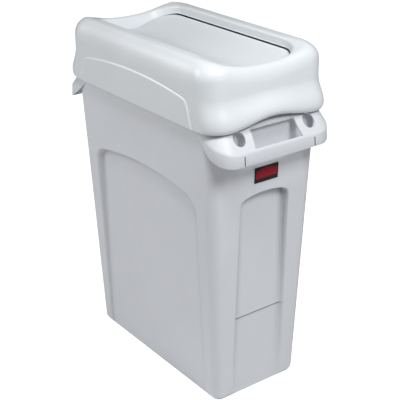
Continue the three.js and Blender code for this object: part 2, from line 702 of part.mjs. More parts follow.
function hoodShell() {
  const drop = (y) => mix(CREST_ROUNDING, SLOPE_ROUNDING, endShare(y));
  const crestInner = hoodRing(
    RIDGE_INNER_HALF_WIDTH + CREST_ROUNDING,
    CREST_HALF_LENGTH - CREST_EDGE_SHARE,
    CREST_CORNER_RADIUS,
    crestHeight,
  );
  const crestEdge = hoodRing(
    RIDGE_INNER_HALF_WIDTH + CREST_ROUNDING * CREST_EDGE_SHARE,
    mix(SLOPE_START, CREST_HALF_LENGTH, CREST_EDGE_SHARE),
    SLOPE_CORNER_RADIUS,
    (x, y) => crestHeight(x, y) - drop(y) * CREST_EDGE_SHARE,
  );
  const slopeTop = hoodRing(
    RIDGE_INNER_HALF_WIDTH,
    SLOPE_START,
    SLOPE_CORNER_RADIUS,
    (x, y) => crestHeight(x, y) - drop(y),
  );
  const crestUnderside = hoodRing(
    RIDGE_INNER_HALF_WIDTH + HOOD_SHEET,
    SLOPE_START + HOOD_SHEET,
    SLOPE_CORNER_RADIUS + HOOD_SHEET,
    (x, y) => crestHeight(x, y) - drop(y),
  );
  const rings = [
    ...skirtRings(0),
    ...shoulderRings(0),
    crestInner,
    crestEdge,
    slopeTop,
    openingRing(0, 0),
    openingRing(0, HOOD_SHEET),
    openingRing(HOOD_SHEET, HOOD_SHEET),
    crestUnderside,
    ...shoulderRings(HOOD_SHEET).reverse(),
    ...skirtRings(HOOD_SHEET).reverse(),
  ];
  const { positions, index } = skin(rings, true, true);
  return solidFrom(positions, index);
}

// Shelf with a D-shaped outer edge inside the skirt, just above the rim
function shelf() {
  const foot = BODY_HEIGHT + FIT_GAP;
  const top = foot + SHELF_THICKNESS;
  const outerX = HOOD_HALF_WIDTH - HOOD_SHEET / 2;
  const outerY = HOOD_HALF_LENGTH - HOOD_SHEET / 2;
  const radius = HOOD_CORNER_RADIUS - HOOD_SHEET / 2;
  const outer = capped([
    hoodRing(outerX, outerY, radius, foot),
    hoodRing(outerX, outerY, radius, top),
  ]);
  const hole = capped([
    hoodRing(outerX - SHELF_WIDTH, outerY - SHELF_WIDTH, radius - SHELF_WIDTH, foot - OVERRUN),
    hoodRing(outerX - SHELF_WIDTH, outerY - SHELF_WIDTH, radius - SHELF_WIDTH, top + OVERRUN),
  ]);
  return outer.subtract(hole);
}

// Raised panel on the +X side of the hood, as tall as its outline and following the skirt's flare
function pad() {
  const foot = HOOD_FOOT_HEIGHT;
  const half = [
    [PAD_FOOT_HALF_LENGTH, foot],
    [PAD_BEND_HALF_LENGTH, PAD_BEND_HEIGHT],
  ];
  const bend = new THREE.QuadraticBezierCurve(
    new THREE.Vector2(PAD_BEND_HALF_LENGTH, PAD_BEND_HEIGHT),
    new THREE.Vector2(PAD_BEND_HALF_LENGTH - SMALL_OVERRUN, PAD_SHOULDER_HEIGHT - SMALL_OVERRUN),
    new THREE.Vector2(PAD_SHOULDER_HALF_LENGTH, PAD_SHOULDER_HEIGHT),
  );
  bend.getPoints(SHOULDER_STEPS).slice(1).forEach((p) => half.push([p.x, p.y]));
  for (let i = 1; i < ARCH_STEPS; i++) {
    const share = 1 - i / ARCH_STEPS;
    half.push([
      PAD_SHOULDER_HALF_LENGTH * share,
      mix(PAD_CROWN_HEIGHT, PAD_SHOULDER_HEIGHT, share ** 2),
    ]);
  }
  const back = [...half].reverse().map(([y, z]) => [-y, z]);
  const outline = [...half, [0, PAD_CROWN_HEIGHT], ...back];
  const row = (reach) => outline.map(([y, z]) => {
    const share = 1 - smooth(z, foot, FLARE_TOP_HEIGHT);
    return new THREE.Vector3(reach + HOOD_SIDE_FLARE * share, y, z);
  });
  return facingOut([row(HOOD_HALF_WIDTH - HOOD_SHEET / 2), row(HOOD_HALF_WIDTH + PAD_PROUD)]);
}

// Bracket at the -Y end of the hood that a pin goes through
function gable() {
  const top = GABLE_FOOT_HEIGHT + GABLE_HEIGHT;
  const middle = GABLE_FOOT_HEIGHT + GABLE_HEIGHT / 2;
  const outerY = HOOD_HALF_LENGTH - HOOD_SHEET / 2;
  const plate = box(GABLE_HALF_WIDTH * 2, GABLE_THICKNESS, GABLE_HEIGHT,
    0, -GABLE_REACH - GABLE_THICKNESS / 2, middle);
  const ribLength = outerY - GABLE_REACH;
  const ribX = GABLE_HALF_WIDTH - GABLE_RIB_THICKNESS / 2;
  const rib = box(GABLE_RIB_THICKNESS, ribLength, GABLE_HEIGHT, ribX, -GABLE_REACH - ribLength / 2, middle);
  const hole = rod(PIN_DIAMETER + FIT_GAP * 2, -GABLE_REACH - OVERRUN, -GABLE_REACH + OVERRUN, 0, PIVOT_HEIGHT);
  return without(joined([plate, rib, rib.mirror([1, 0, 0])]), [hole]);
}

function hood() {
  const pads = bothEnds(pad());
  return joined([hoodShell(), shelf(), ...pads, ...bothEnds(gable())]);
}

// A slab under the door's top face, between two depths below it
function valleySlab(topDrop, footDrop, halfWidth, halfLength) {
  const profile = [];
  for (let i = -VALLEY_STEPS; i <= VALLEY_STEPS; i++) {
    const share = i / VALLEY_STEPS;
    profile.push(halfWidth * Math.sign(share) * share ** 2);
  }
  const row = (y) => [
    ...profile.map((x) => new THREE.Vector3(x, y, doorTop(x) - footDrop)),
    ...[...profile].reverse().map((x) => new THREE.Vector3(x, y, doorTop(x) - topDrop)),
  ];
  return facingOut([row(-halfLength), row(halfLength)]);
}

function doorPrism(inset) {
  const foot = PIVOT_HEIGHT - DOOR_FLANGE;
  const top = RIDGE_HEIGHT;
  const row = (z) => ring(DOOR_HALF_WIDTH - inset, DOOR_HALF_LENGTH - inset, DOOR_CORNER_RADIUS - inset, z,
    PLAIN_SHARES, PLAIN_SHARES);
  return capped([row(foot), row(top)]);
}

// Ear at the -Y end of the door that a pin goes through
function ear() {
  const foot = PIVOT_HEIGHT - EAR_HALF_WIDTH;
  const top = doorTop(0) - DOOR_SHEET / 2;
  const outline = [];
  for (let i = 0; i <= HOLE_STEPS / 2; i++) {
    const angle = Math.PI + Math.PI * (i / (HOLE_STEPS / 2));
    outline.push([EAR_HALF_WIDTH * Math.cos(angle), PIVOT_HEIGHT + EAR_HALF_WIDTH * Math.sin(angle)]);
  }
  outline.push([EAR_HALF_WIDTH, top], [-EAR_HALF_WIDTH, top]);
  const outer = -DOOR_HALF_LENGTH;
  const plate = plateAcross(outline, outer, outer + EAR_THICKNESS);
  const hole = rod(PIN_DIAMETER + FIT_GAP * 2, outer - OVERRUN, outer + OVERRUN * 2, 0, PIVOT_HEIGHT);
  return { plate, hole, foot };
}

// Clip under the door that the counterweight bar snaps up into
function clip() {
  const top = doorTop(0) - DOOR_SHEET / 2;
  const foot = BAR_HEIGHT - BAR_DIAMETER / 2 - CLIP_WALL;
  const outline = [
    [-CLIP_FOOT_HALF_WIDTH, foot],
    [CLIP_FOOT_HALF_WIDTH, foot],
    [CLIP_TOP_HALF_WIDTH, top],
    [-CLIP_TOP_HALF_WIDTH, top],
  ];
  const start = -CLIP_REACH - CLIP_THICKNESS / 2;
  const end = start + CLIP_THICKNESS;
  const seat = rod(BAR_DIAMETER + FIT_GAP * 2, start - OVERRUN, end + OVERRUN, 0, BAR_HEIGHT);
  const mouth = box(CLIP_MOUTH_WIDTH, CLIP_THICKNESS + OVERRUN, BAR_DIAMETER + OVERRUN,
    0, -CLIP_REACH, BAR_HEIGHT - (BAR_DIAMETER + OVERRUN) / 2);
  return without(plateAcross(outline, start, end), [seat, mouth]);
}

function door() {
  const outerSlab = valleySlab(0, DOOR_FLANGE, DOOR_HALF_WIDTH + OVERRUN, DOOR_HALF_LENGTH + OVERRUN);
  const innerSlab = valleySlab(DOOR_SHEET, DOOR_FLANGE + OVERRUN, DOOR_HALF_WIDTH + OVERRUN,
    DOOR_HALF_LENGTH + OVERRUN);
  const block = doorPrism(0).intersect(outerSlab);
  const hollow = doorPrism(DOOR_SHEET).intersect(innerSlab);
  const { plate, hole } = ear();
  const panel = joined([block.subtract(hollow), ...bothEnds(plate), ...bothEnds(clip())]);
  return without(panel, bothEnds(hole));
}

// Headed pin for the -Y end
function pin() {
  const headStart = -GABLE_REACH - GABLE_THICKNESS - FIT_GAP - PIN_HEAD_THICKNESS;
  const shank = rod(PIN_DIAMETER, headStart, -PIN_TIP_REACH, 0, PIVOT_HEIGHT);
  const head = rod(PIN_HEAD_DIAMETER, headStart, headStart + PIN_HEAD_THICKNESS, 0, PIVOT_HEIGHT);
  return shank.add(head);
}

function badge() {
  const inner = skinHalfLength(BADGE_CENTRE_HEIGHT) + FIT_GAP;
  const lean = Math.atan2(TOP_HALF_LENGTH - BASE_HALF_LENGTH, TAPER_HEIGHT);
  const geometry = new THREE.BoxGeometry(BADGE_WIDTH, BADGE_THICKNESS, BADGE_HEIGHT);
  geometry.rotateX(lean);
  geometry.translate(0, -inner - BADGE_THICKNESS / 2, BADGE_CENTRE_HEIGHT);
  return toSolid(geometry);
}

const recyclingBin = new THREE.Group();
recyclingBin.name = "swing_lid_recycling_bin";

const lid = new THREE.Group();
lid.name = "lid";
const swing = new THREE.Group();
swing.name = "swing";

recyclingBin.add(toMesh(container(), "bin_body", BODY_GREY, 0.5, 0));
recyclingBin.add(toMesh(badge(), "front_badge", BADGE_RED, 0.4, 0));
lid.add(toMesh(hood(), "lid_hood", HOOD_GREY, 0.45, 0));
lid.add(toMesh(pin(), "front_pivot_pin", STEEL_GREY, 0.35, 0.9));
lid.add(toMesh(pin().rotate([0, 0, 180]), "rear_pivot_pin", STEEL_GREY, 0.35, 0.9));
swing.add(toMesh(door(), "swing_door", DOOR_GREY, 0.45, 0));
swing.add(toMesh(rod(BAR_DIAMETER, -BAR_HALF_LENGTH, BAR_HALF_LENGTH, 0, BAR_HEIGHT),
  "counterweight_bar", STEEL_GREY, 0.35, 0.9));
lid.add(swing);
recyclingBin.add(lid);

export default recyclingBin;
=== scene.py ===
"""A swing lid recycling bin: slim container, visor handles, saddle-shaped hood and swinging door."""
import math

import bpy
from bpy.props import FloatProperty, FloatVectorProperty, IntProperty, PointerProperty
from mathutils import Matrix, Vector


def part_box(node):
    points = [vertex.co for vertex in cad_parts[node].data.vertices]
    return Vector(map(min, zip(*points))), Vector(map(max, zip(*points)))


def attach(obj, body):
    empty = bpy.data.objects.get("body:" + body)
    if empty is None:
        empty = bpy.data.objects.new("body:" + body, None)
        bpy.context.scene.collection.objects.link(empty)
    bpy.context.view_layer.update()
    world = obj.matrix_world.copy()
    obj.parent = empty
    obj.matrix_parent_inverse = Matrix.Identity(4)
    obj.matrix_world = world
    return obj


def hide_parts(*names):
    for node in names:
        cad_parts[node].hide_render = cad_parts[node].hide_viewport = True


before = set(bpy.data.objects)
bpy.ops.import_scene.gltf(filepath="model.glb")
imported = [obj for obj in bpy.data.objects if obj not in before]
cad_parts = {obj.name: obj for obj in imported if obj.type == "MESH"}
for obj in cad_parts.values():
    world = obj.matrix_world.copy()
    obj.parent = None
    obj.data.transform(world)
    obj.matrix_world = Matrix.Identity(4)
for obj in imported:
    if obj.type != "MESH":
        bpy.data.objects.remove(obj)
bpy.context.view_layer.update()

bl_info = {
    "name": "Swing Lid Recycling Bin",
    "version": (1, 0, 0),
    "blender": (4, 5, 0),
    "location": "View3D > Sidebar > Bin",
    "description": "Models a slim swing lid recycling bin around its packed frame",
    "category": "Add Mesh",
}

MM = 0.001
MERGE_DISTANCE = 0.00002
BEVEL_DEGREES = 35.0
CORNER_STEPS = 14
TINY = 0.001

# Container, in millimetres
WALL = 3.0
BODY_HEIGHT = 632.0
TAPER_HEIGHT = 604.0
BASE_HALF_WIDTH = 105.6
BASE_HALF_LENGTH = 220.9
TOP_HALF_WIDTH = 133.6
TOP_HALF_LENGTH = 241.0
BASE_CORNER_RADIUS = 20.0
TOP_CORNER_RADIUS = 31.0
LEAST_RADIUS = 3.0
PLINTH_INSET = 4.6
PLINTH_HEIGHT = 6.0
PLINTH_BLEND_TOP = 12.0
FLOOR_THICKNESS = 4.5
FLOOR_BLEND_TOP = 20.0
RIM_FOOT = 609.0
RIM_PROUD = 1.8
END_CROWN = 455.0
END_ARCH_DROP = 10.0
END_PANEL_HALF_WIDTH = 57.0
END_TOP_RUN = 3.2
END_FOOT_RUN = 11.5
END_CORNER_RADIUS = 8.5
END_PANEL_FOOT_REACH = 217.2
END_PANEL_TOP_REACH = 220.4
STEP_HEIGHT = 182.0
STEP_REACH = 216.5
STEP_GROOVE = 1.2
STEP_GROOVE_FOOT = 3.2
STEP_GROOVE_TOP = 1.6
STEP_SOFTNESS = 0.3
LONG_CROWN = 468.0
LONG_ARCH_DROP = 20.0
LONG_RIM_FOOT_HALF_LENGTH = 186.0
LONG_RIM_TOP_HALF_LENGTH = 181.0
LONG_TOP_RUN = 7.5
LONG_PANEL_TOP_HALF_LENGTH = 170.0
LONG_PANEL_FOOT_HALF_LENGTH = 177.0
LONG_CORNER_RADIUS = 17.0
LONG_PANEL_FOOT_REACH = 101.2
LONG_PANEL_TOP_REACH = 115.0
FIN_CENTRE = 150.0
FIN_OFFSET = 12.3
FIN_SHEET = 2.6
FIN_DEPTH = 9.0
FIN_FOOT = 4.0
FIN_PANEL_TOP = 445.0
FIN_SKIN_FOOT = 466.0
FIN_SHOULDER = 546.0
FIN_TOP = 555.0
FIN_EMBED = 1.5
FIN_CHAMFER = 6.0
FIN_CHAMFER_DROP = 2.0
FIN_BEVEL = 0.6

# Where the container's rows and columns stand close together, to carry the recesses' walls
LONG_FINE_START = 156.0
LONG_FINE_END = 190.0
END_FINE_START = 44.0
END_FINE_END = 73.0
CROWN_FINE_START = 415.0
CROWN_FINE_END = 476.0

# Stretches of the container's outer and inner walls, as (start, end, rows)
OUTER_STRETCHES = [
    (PLINTH_BLEND_TOP, STEP_HEIGHT - 3.5, 12), (STEP_HEIGHT - 3.5, STEP_HEIGHT - 0.4, 6),
    (STEP_HEIGHT - 0.4, STEP_HEIGHT + 0.4, 4), (STEP_HEIGHT + 0.4, STEP_HEIGHT + 2.0, 2),
    (STEP_HEIGHT + 2.0, CROWN_FINE_START, 14), (CROWN_FINE_START, CROWN_FINE_END, 52),
    (CROWN_FINE_END, TAPER_HEIGHT, 6),
]
INNER_STRETCHES = [
    (TAPER_HEIGHT, CROWN_FINE_END + 4.0, 3), (CROWN_FINE_END + 4.0, CROWN_FINE_START - 5.0, 22),
    (CROWN_FINE_START - 5.0, STEP_HEIGHT + 8.0, 6), (STEP_HEIGHT + 8.0, STEP_HEIGHT - 6.0, 4),
    (STEP_HEIGHT - 6.0, FLOOR_BLEND_TOP, 6),
]

# Height and inset of each row of the container's roundings
PLINTH_ROWS = [
    (0.0, PLINTH_INSET + 1.0), (0.6, PLINTH_INSET + 0.3), (1.6, PLINTH_INSET),
    (PLINTH_HEIGHT - 0.4, PLINTH_INSET), (PLINTH_HEIGHT, PLINTH_INSET - 0.4),
    (PLINTH_HEIGHT + 0.05, 2.7), (PLINTH_HEIGHT + 0.5, 1.5), (PLINTH_HEIGHT + 1.6, 0.7),
    (PLINTH_HEIGHT + 3.4, 0.2), (PLINTH_BLEND_TOP, 0.0),
]
RIM_ROWS = [
    (RIM_FOOT - 0.4, 0.0), (RIM_FOOT, -0.3), (RIM_FOOT + 0.2, -1.3), (RIM_FOOT + 0.8, -RIM_PROUD),
    (BODY_HEIGHT - 1.0, -RIM_PROUD), (BODY_HEIGHT - 0.3, 0.3 - RIM_PROUD), (BODY_HEIGHT, 1.0 - RIM_PROUD),
    (BODY_HEIGHT, WALL - 1.0), (BODY_HEIGHT - 0.3, WALL - 0.3), (BODY_HEIGHT - 1.0, WALL),
]
FLOOR_ROWS = [
    (FLOOR_THICKNESS + 9.5, WALL + 0.4), (FLOOR_THICKNESS + 5.5, WALL + 2.0),
    (FLOOR_THICKNESS + 2.5, WALL + 4.6), (FLOOR_THICKNESS + 0.7, WALL + 8.0),
    (FLOOR_THICKNESS, WALL + 13.0),
]

# Handles
GRIP_HALF_WIDTH = 137.0
GRIP_HALF_LENGTH = 277.0
GRIP_CORNER_RADIUS = 38.0
GRIP_TAIL = 42.0
GRIP_SHEET = 3.2
GRIP_SHEET_DROP = 5.6
GRIP_EDGE_ROUNDING = 2.6
GRIP_LIP = 1.1
GRIP_ROOT_INSET = 1.6
GRIP_ROOT_CROWN = 611.0
GRIP_ROOT_SHOULDER = 600.0
GRIP_EDGE_HEIGHT = 560.5
GRIP_EDGE_RISE = 33.0
GRIP_EDGE_START_SHARE = 0.47
GRIP_EDGE_POWER = 1.3
GRIP_FOOT_HEIGHT = 538.0
GRIP_FOOT_RISE = 51.0
GRIP_FOOT_START_SHARE = 0.52
GRIP_FOOT_POWER = 1.9
GRIP_CORNER_STEPS = 14
GRIP_TAIL_STEPS = 12
APRON_KICK = 2.4
HAND_HOLE_TOP_HALF_WIDTH = 53.5
HAND_HOLE_FOOT_HALF_WIDTH = 57.5
HAND_HOLE_INNER = 248.0
HAND_HOLE_OUTER = 273.8
HAND_HOLE_RADIUS = 5.0
HAND_HOLE_STEPS = 8
HAND_CUT_FOOT = 544.0
HAND_CUT_HEIGHT = 80.0
CINCH_OFFSET = 83.8
CINCH_REACH = 259.0
CINCH_DIAMETER = 29.0
CINCH_CUT_DEPTH = 14.0
CINCH_SHAPE_SHARES = (0.92, 1.05, 1.0)
SLIT_OFFSET = 85.0
SLIT_WIDTH = 2.4
SLIT_REACH = 270.0
SLIT_DEPTH = 14.0
SLIT_FOOT = 530.0
SLIT_TOP = 557.0

# Hood
HOOD_SHEET = 3.0
HOOD_HALF_WIDTH = 142.5
HOOD_HALF_LENGTH = 244.6
HOOD_CORNER_RADIUS = 42.0
HOOD_FOOT_HEIGHT = 599.0
HOOD_FOOT_ARCH = 13.5
HOOD_ARCH_HALF_WIDTH = 104.0
HOOD_END_BAND = 4.0
HOOD_FLARE = 15.9
HOOD_SIDE_FLARE = 2.0
FLARE_TOP = 662.0
RIDGE_HEIGHT = 723.5
RIDGE_HALF_WIDTH = 117.5
RIDGE_INNER_HALF_WIDTH = 98.6
CREST_DIP = 18.3
CREST_DIP_HALF_WIDTH = 110.0
CREST_DIP_POWER = 2.3
CREST_DIP_START = 150.0
CREST_DIP_END = 215.0
CREST_HALF_LENGTH = 228.0
CREST_NARROWING = 0.5
CREST_RADIUS = 52.0
CREST_RADIUS_LOSS = 1.0
HOOD_FOOT_ROUNDING = 0.8
LONG_SHOULDER_DROP = 48.0
END_SHOULDER_DROP = 32.0
BLEND_START = 168.0
BLEND_END = 236.0
LONG_CREST_ROUNDING = 5.0
END_CREST_ROUNDING = 7.0
END_CREST_DEGREES = 65.0
SLOPE_START = 221.0
LIP_LIFT = 2.8
LIP_BLEND_START = 172.0
LIP_BLEND_END = 214.0
SHELF_CLEARANCE = 0.3
SHELF_SHEET = 2.5
SHELF_WIDTH = 8.0
SHELF_LAP = 1.5
SHELF_ROUNDING = 0.6

# Shares of the flare, from the foot of the skirt up to the top of the flare
FLARE_SHARES = [0.76, 0.95, 1.0, 0.97, 0.89, 0.77, 0.62, 0.46, 0.31, 0.18, 0.08, 0.02, 0.0]

# Where the hood's columns stand, as shares of the straight stretch of a side and of an end
HOOD_LONG_SHARES = [0.0, 0.2, 0.4, 0.55, 0.66, 0.74, 0.8, 0.85, 0.89, 0.93, 0.97]
HOOD_END_SHARES = [0.08, 0.16, 0.25, 0.34, 0.43, 0.52, 0.61, 0.7, 0.79, 0.87, 0.94]

# How much wider than the opening each row of the lip's rounding is, and how far up it lies
LIP_ROWS = [(-0.25, 1.7), (-0.65, 0.95), (-0.85, 0.4), (-0.6, 0.05), (0.2, 0.0), (HOOD_SHEET, 0.0)]

# Side panels of the hood, with places along the side and heights
PAD_PROUD = 1.9
PAD_SIDE = [(198.0, HOOD_FOOT_HEIGHT), (194.5, 610.0), (190.7, 621.0), (187.2, 631.0), (184.4, 638.5)]
PAD_CORNER = (179.5, 651.5)
PAD_SHOULDER = (166.0, 653.8)
PAD_CROWN = 666.0
PAD_CORNER_STEPS = 8
PAD_TOP_STEPS = 14
PAD_SHRINK_HEIGHT = 560.0
PAD_SHRINK_SHARE = 1.6
PAD_FILL_FOOT = HOOD_FOOT_HEIGHT + 20.0
PAD_FILL_SHARES = (0.9, 0.8, 0.7, 0.6, 0.5, 0.4, 0.3, 0.2, 0.1, 0.03)
# Side panel faces that lean further than this from facing straight out get the painted highlight
HIGHLIGHT_EDGE_FACING = 0.97

# How far each row of a side panel's edge stands out, as a share, and lies in from the outline
PAD_EDGE_ROWS = [(0.0, 0.0), (0.4, 1.0), (0.75, 2.2), (0.97, 3.6), (1.0, 5.0), (1.0, 6.5)]
PAD_EMBED = 1.5

# Door
DOOR_HALF_WIDTH = 95.8
DOOR_HALF_LENGTH = 214.5
DOOR_RADIUS = 44.0
DOOR_EDGE_HEIGHT = 703.5
DOOR_SHEET = 3.0
DOOR_FLANGE = 9.0
DOOR_GAP = 2.4
DOOR_END_GAP = 1.3
SIDE_LIP_RISE = 1.7
END_LIP_RISE = -1.2
VALLEY_DEPTH = 24.0
VALLEY_ROUNDING = 14.0
PIVOT_HEIGHT = 667.0
EAR_HALF_WIDTH = 13.0
EAR_SHEET = 5.0
EAR_STEPS = 16
EAR_BEVEL = 0.5
BAR_HEIGHT = 638.0
BAR_HALF_LENGTH = 161.5
BAR_RADIUS = 6.0
BAR_BEVEL = 0.8
CLIP_REACH = 126.5
CLIP_SHEET = 4.0
CLIP_RADIUS = 6.3
CLIP_MOUTH_HALF_WIDTH = 4.5
CLIP_FOOT_HALF_WIDTH = 11.0
CLIP_TOP_HALF_WIDTH = 20.0
CLIP_DROP = 10.0
CLIP_MOUTH_DROP = 4.3
CLIP_START_DEGREES = 223.0
CLIP_TURN_DEGREES = 266.0
CLIP_STEPS = 24
CLIP_BEVEL = 0.4
DOOR_LONG_SHARES = [0.0, 0.25, 0.5, 0.75]
DOOR_END_SHARES = [0.03, 0.07, 0.12, 0.18, 0.25, 0.34, 0.45, 0.58, 0.72, 0.86]
DOOR_LEAST_RADIUS = 2.0
DOOR_MIDDLE_HALF_WIDTH = 3.0
DOOR_EDGE_WIDTH = 6.0
DOOR_EDGE_STEPS = 6
DOOR_FLANGE_ROUNDING = 0.6
DOOR_CORNER_FILL = 1.2

# Brackets for the pins
BORE_RADIUS = 4.3
BORE_CUT_LENGTH = 20.0
GABLE_REACH = 219.5
GABLE_SHEET = 4.0
GABLE_HALF_WIDTH = 16.0
GABLE_FOOT = 653.0
GABLE_TOP = 683.0
RIB_OFFSET = 14.5
RIB_SHEET = 3.0
RIB_REACH = 243.0
RIB_CHAMFER = 6.0
RIB_EMBED = 1.0
BRACKET_BEVEL = 0.5

# Badge
BADGE_CORNER = 1.6
BADGE_BORDER = 3.0
BADGE_EMBED = 0.3
BADGE_ARCH_DROP = 4.5
BADGE_ARCH_STEPS = 16
BADGE_FIELD_FOOT = 8.5
BADGE_FIELD_SHEET = 0.25
BADGE_BEVEL = 0.25
BADGE_FIELD_BEVEL = 0.1

# Finishes
# Reach of the painted shade that darkens the plastics' colour in crevices
PAINTED_SHADE_REACH = 18.0

# Stage, in metres and degrees. The camera was fitted to a picture 400 pixels wide.
FLOOR_SIZE = 14.0
FLOOR_DROP = 0.0005
FLOOR_GLOW = 0.12
FLOOR_SEEN_GLOW = 0.95
SKY_GLOW = 0.15
SKY_SEEN_GLOW = 1.0
PICTURE_PIXELS = 400.0
FOCAL_PIXELS = 993.29
SENSOR_WIDTH = 36.0
CAMERA_PLACE = (-1.13744, -1.56379, 1.21785)
CAMERA_AZIMUTH = -36.47
CAMERA_ELEVATION = 24.15
CAMERA_ROLL = -0.49

# Name, place, target, size and watts of each lamp
SOFTBOXES = [
    ("high front softbox", (0.08, -1.4, 1.9), (0.0, -0.15, 0.7), (0.6, 0.6), 24.4),
    ("corner softbox", (-0.45, -0.55, 1.5), (-0.12, -0.24, 0.68), (0.25, 0.25), 5.6),
    ("high side softbox", (-1.6, 1.3, 1.5), (0.0, 0.0, 0.45), (0.9, 0.9), 17.2),
    ("low side softbox", (-2.0, 1.6, 0.7), (0.0, 0.0, 0.35), (1.2, 1.4), 3.4),
]


# Numbers
def mix(a, b, share):
    return a + (b - a) * share


def smooth(value, start, end):
    share = min(max((value - start) / (end - start), 0.0), 1.0)
    return share * share * (3.0 - 2.0 * share)


def spread(*runs):
    """Numbers along a line: each run is (start, end, steps), and the last end is kept."""
    values = []
    for start, end, steps in runs:
        values += [mix(start, end, i / steps) for i in range(steps)]
    return values + [runs[-1][1]]


def along(points, share):
    """A smooth curve through evenly spaced values."""
    spot = share * (len(points) - 1)
    i = min(int(spot), len(points) - 2)
    t = spot - i
    before = points[max(i - 1, 0)]
    after = points[min(i + 2, len(points) - 1)]
    a, b = points[i], points[i + 1]
    ma, mb = (b - before) / 2.0, (after - a) / 2.0
    return ((2 * t**3 - 3 * t**2 + 1) * a + (t**3 - 2 * t**2 + t) * ma
            + (3 * t**2 - 2 * t**3) * b + (t**3 - t**2) * mb)


# Meshes
def none_selected():
    if bpy.context.object and bpy.context.object.mode != "OBJECT":
        bpy.ops.object.mode_set(mode="OBJECT")
    bpy.ops.object.select_all(action="DESELECT")


def only(obj):
    none_selected()
    obj.select_set(True)
    bpy.context.view_layer.objects.active = obj


def place_mesh(obj):
    """The object ends at the origin, with its place in its mesh."""
    only(obj)
    bpy.ops.object.transform_apply(location=True, rotation=True, scale=True)


def weld(obj):
    only(obj)
    bpy.ops.object.mode_set(mode="EDIT")
    bpy.ops.mesh.select_all(action="SELECT")
    bpy.ops.mesh.remove_doubles(threshold=MERGE_DISTANCE)
    bpy.ops.object.mode_set(mode="OBJECT")


def smooth_shade(obj, degrees):
    only(obj)
    bpy.ops.object.shade_smooth_by_angle(angle=math.radians(degrees))


def woven_grid(name, rings, closed_stack=False):
    """A grid primitive laid over a stack of closed rings of points, given in millimetres.

    The first and last ring are filled, unless the stack closes on itself.
    """
    columns = len(rings[0])
    rows = len(rings) - 1
    none_selected()
    bpy.ops.mesh.primitive_grid_add(x_subdivisions=columns, y_subdivisions=rows, size=1.0)
    obj = bpy.context.object
    obj.name = name
    mesh = obj.data
    for vertex in mesh.vertices:
        column = round((vertex.co.x + 0.5) * columns)
        row = round((vertex.co.y + 0.5) * rows)
        vertex.co = Vector(rings[row][column % columns]) * MM
    only(obj)
    bpy.ops.object.mode_set(mode="EDIT")
    bpy.ops.mesh.select_all(action="SELECT")
    bpy.ops.mesh.remove_doubles(threshold=MERGE_DISTANCE)
    if not closed_stack:
        bpy.ops.mesh.select_all(action="DESELECT")
        bpy.ops.mesh.select_mode(type="EDGE")
        bpy.ops.mesh.select_non_manifold(extend=False)
        bpy.ops.mesh.edge_face_add()
    bpy.ops.mesh.select_mode(type="VERT")
    bpy.ops.mesh.select_all(action="SELECT")
    bpy.ops.mesh.normals_make_consistent(inside=False)
    bpy.ops.mesh.select_all(action="DESELECT")
    bpy.ops.object.mode_set(mode="OBJECT")
    return obj


def plate(name, outline, thickness, bevel=0.0):
    """A flat plate from an outline of 3-D points in millimetres, pushed out along a vector."""
    none_selected()
    bpy.ops.mesh.primitive_circle_add(vertices=len(outline), radius=1.0, fill_type="NGON")
    obj = bpy.context.object
    obj.name = name
    for vertex, point in zip(obj.data.vertices, outline):
        vertex.co = Vector(point) * MM
    only(obj)
    bpy.ops.object.mode_set(mode="EDIT")
    bpy.ops.mesh.select_all(action="SELECT")
    bpy.ops.mesh.extrude_region_move(TRANSFORM_OT_translate={"value": Vector(thickness) * MM})
    bpy.ops.mesh.select_all(action="SELECT")
    bpy.ops.mesh.normals_make_consistent(inside=False)
    bpy.ops.object.mode_set(mode="OBJECT")
    if bevel:
        round_edges(obj, bevel)
    return obj


def round_edges(obj, width, segments=2):
    only(obj)
    modifier = obj.modifiers.new("edge rounding", "BEVEL")
    modifier.width = width * MM
    modifier.segments = segments
    modifier.limit_method = "ANGLE"
    modifier.angle_limit = math.radians(BEVEL_DEGREES)
    bpy.ops.object.modifier_apply(modifier=modifier.name)


def cut(obj, cutter):
    modifier = obj.modifiers.new("cut", "BOOLEAN")
    modifier.operation = "DIFFERENCE"
    modifier.solver = "EXACT"
    modifier.object = cutter
    only(obj)
    bpy.ops.object.modifier_apply(modifier=modifier.name)
    bpy.data.objects.remove(cutter)


def lying_cylinder(radius, length, reach, height, vertices=40):
    """A cylinder along the bin's length, in millimetres, with its place in its mesh."""
    none_selected()
    bpy.ops.mesh.primitive_cylinder_add(
        vertices=vertices, radius=radius * MM, depth=length * MM,
        location=(0.0, reach * MM, height * MM), rotation=(math.pi / 2, 0.0, 0.0))
    obj = bpy.context.object
    place_mesh(obj)
    return obj


def copy_turned(obj, name):
    """A copy at the other end of the bin, with its own mesh."""
    only(obj)
    bpy.ops.object.duplicate(linked=False)
    other = bpy.context.object
    other.name = name
    other.data.name = name
    for vertex in other.data.vertices:
        vertex.co = Vector((-vertex.co.x, -vertex.co.y, vertex.co.z))
    return other


def join_all(main, others):
    only(main)
    for other in others:
        other.select_set(True)
    bpy.ops.object.join()


# Finishes
def new_material(name):
    material = bpy.data.materials.new(name)
    material.use_nodes = True
    tree = material.node_tree
    return material, tree, tree.nodes["Principled BSDF"]


def noise(tree, place, scale, detail):
    node = tree.nodes.new("ShaderNodeTexNoise")
    node.inputs["Scale"].default_value = scale
    node.inputs["Detail"].default_value = detail
    tree.links.new(place, node.inputs["Vector"])
    return node.outputs["Fac"]


def ranged(tree, value, low, high, start=0.0, end=1.0):
    """Runs from low to high as the value runs from start to end."""
    node = tree.nodes.new("ShaderNodeMapRange")
    node.inputs["From Min"].default_value = start
    node.inputs["From Max"].default_value = end
    node.inputs["To Min"].default_value = low
    node.inputs["To Max"].default_value = high
    tree.links.new(value, node.inputs["Value"])
    return node.outputs["Result"]


def bumped(tree, height, strength, distance):
    node = tree.nodes.new("ShaderNodeBump")
    node.inputs["Strength"].default_value = strength
    node.inputs["Distance"].default_value = distance
    tree.links.new(height, node.inputs["Height"])
    return node.outputs["Normal"]


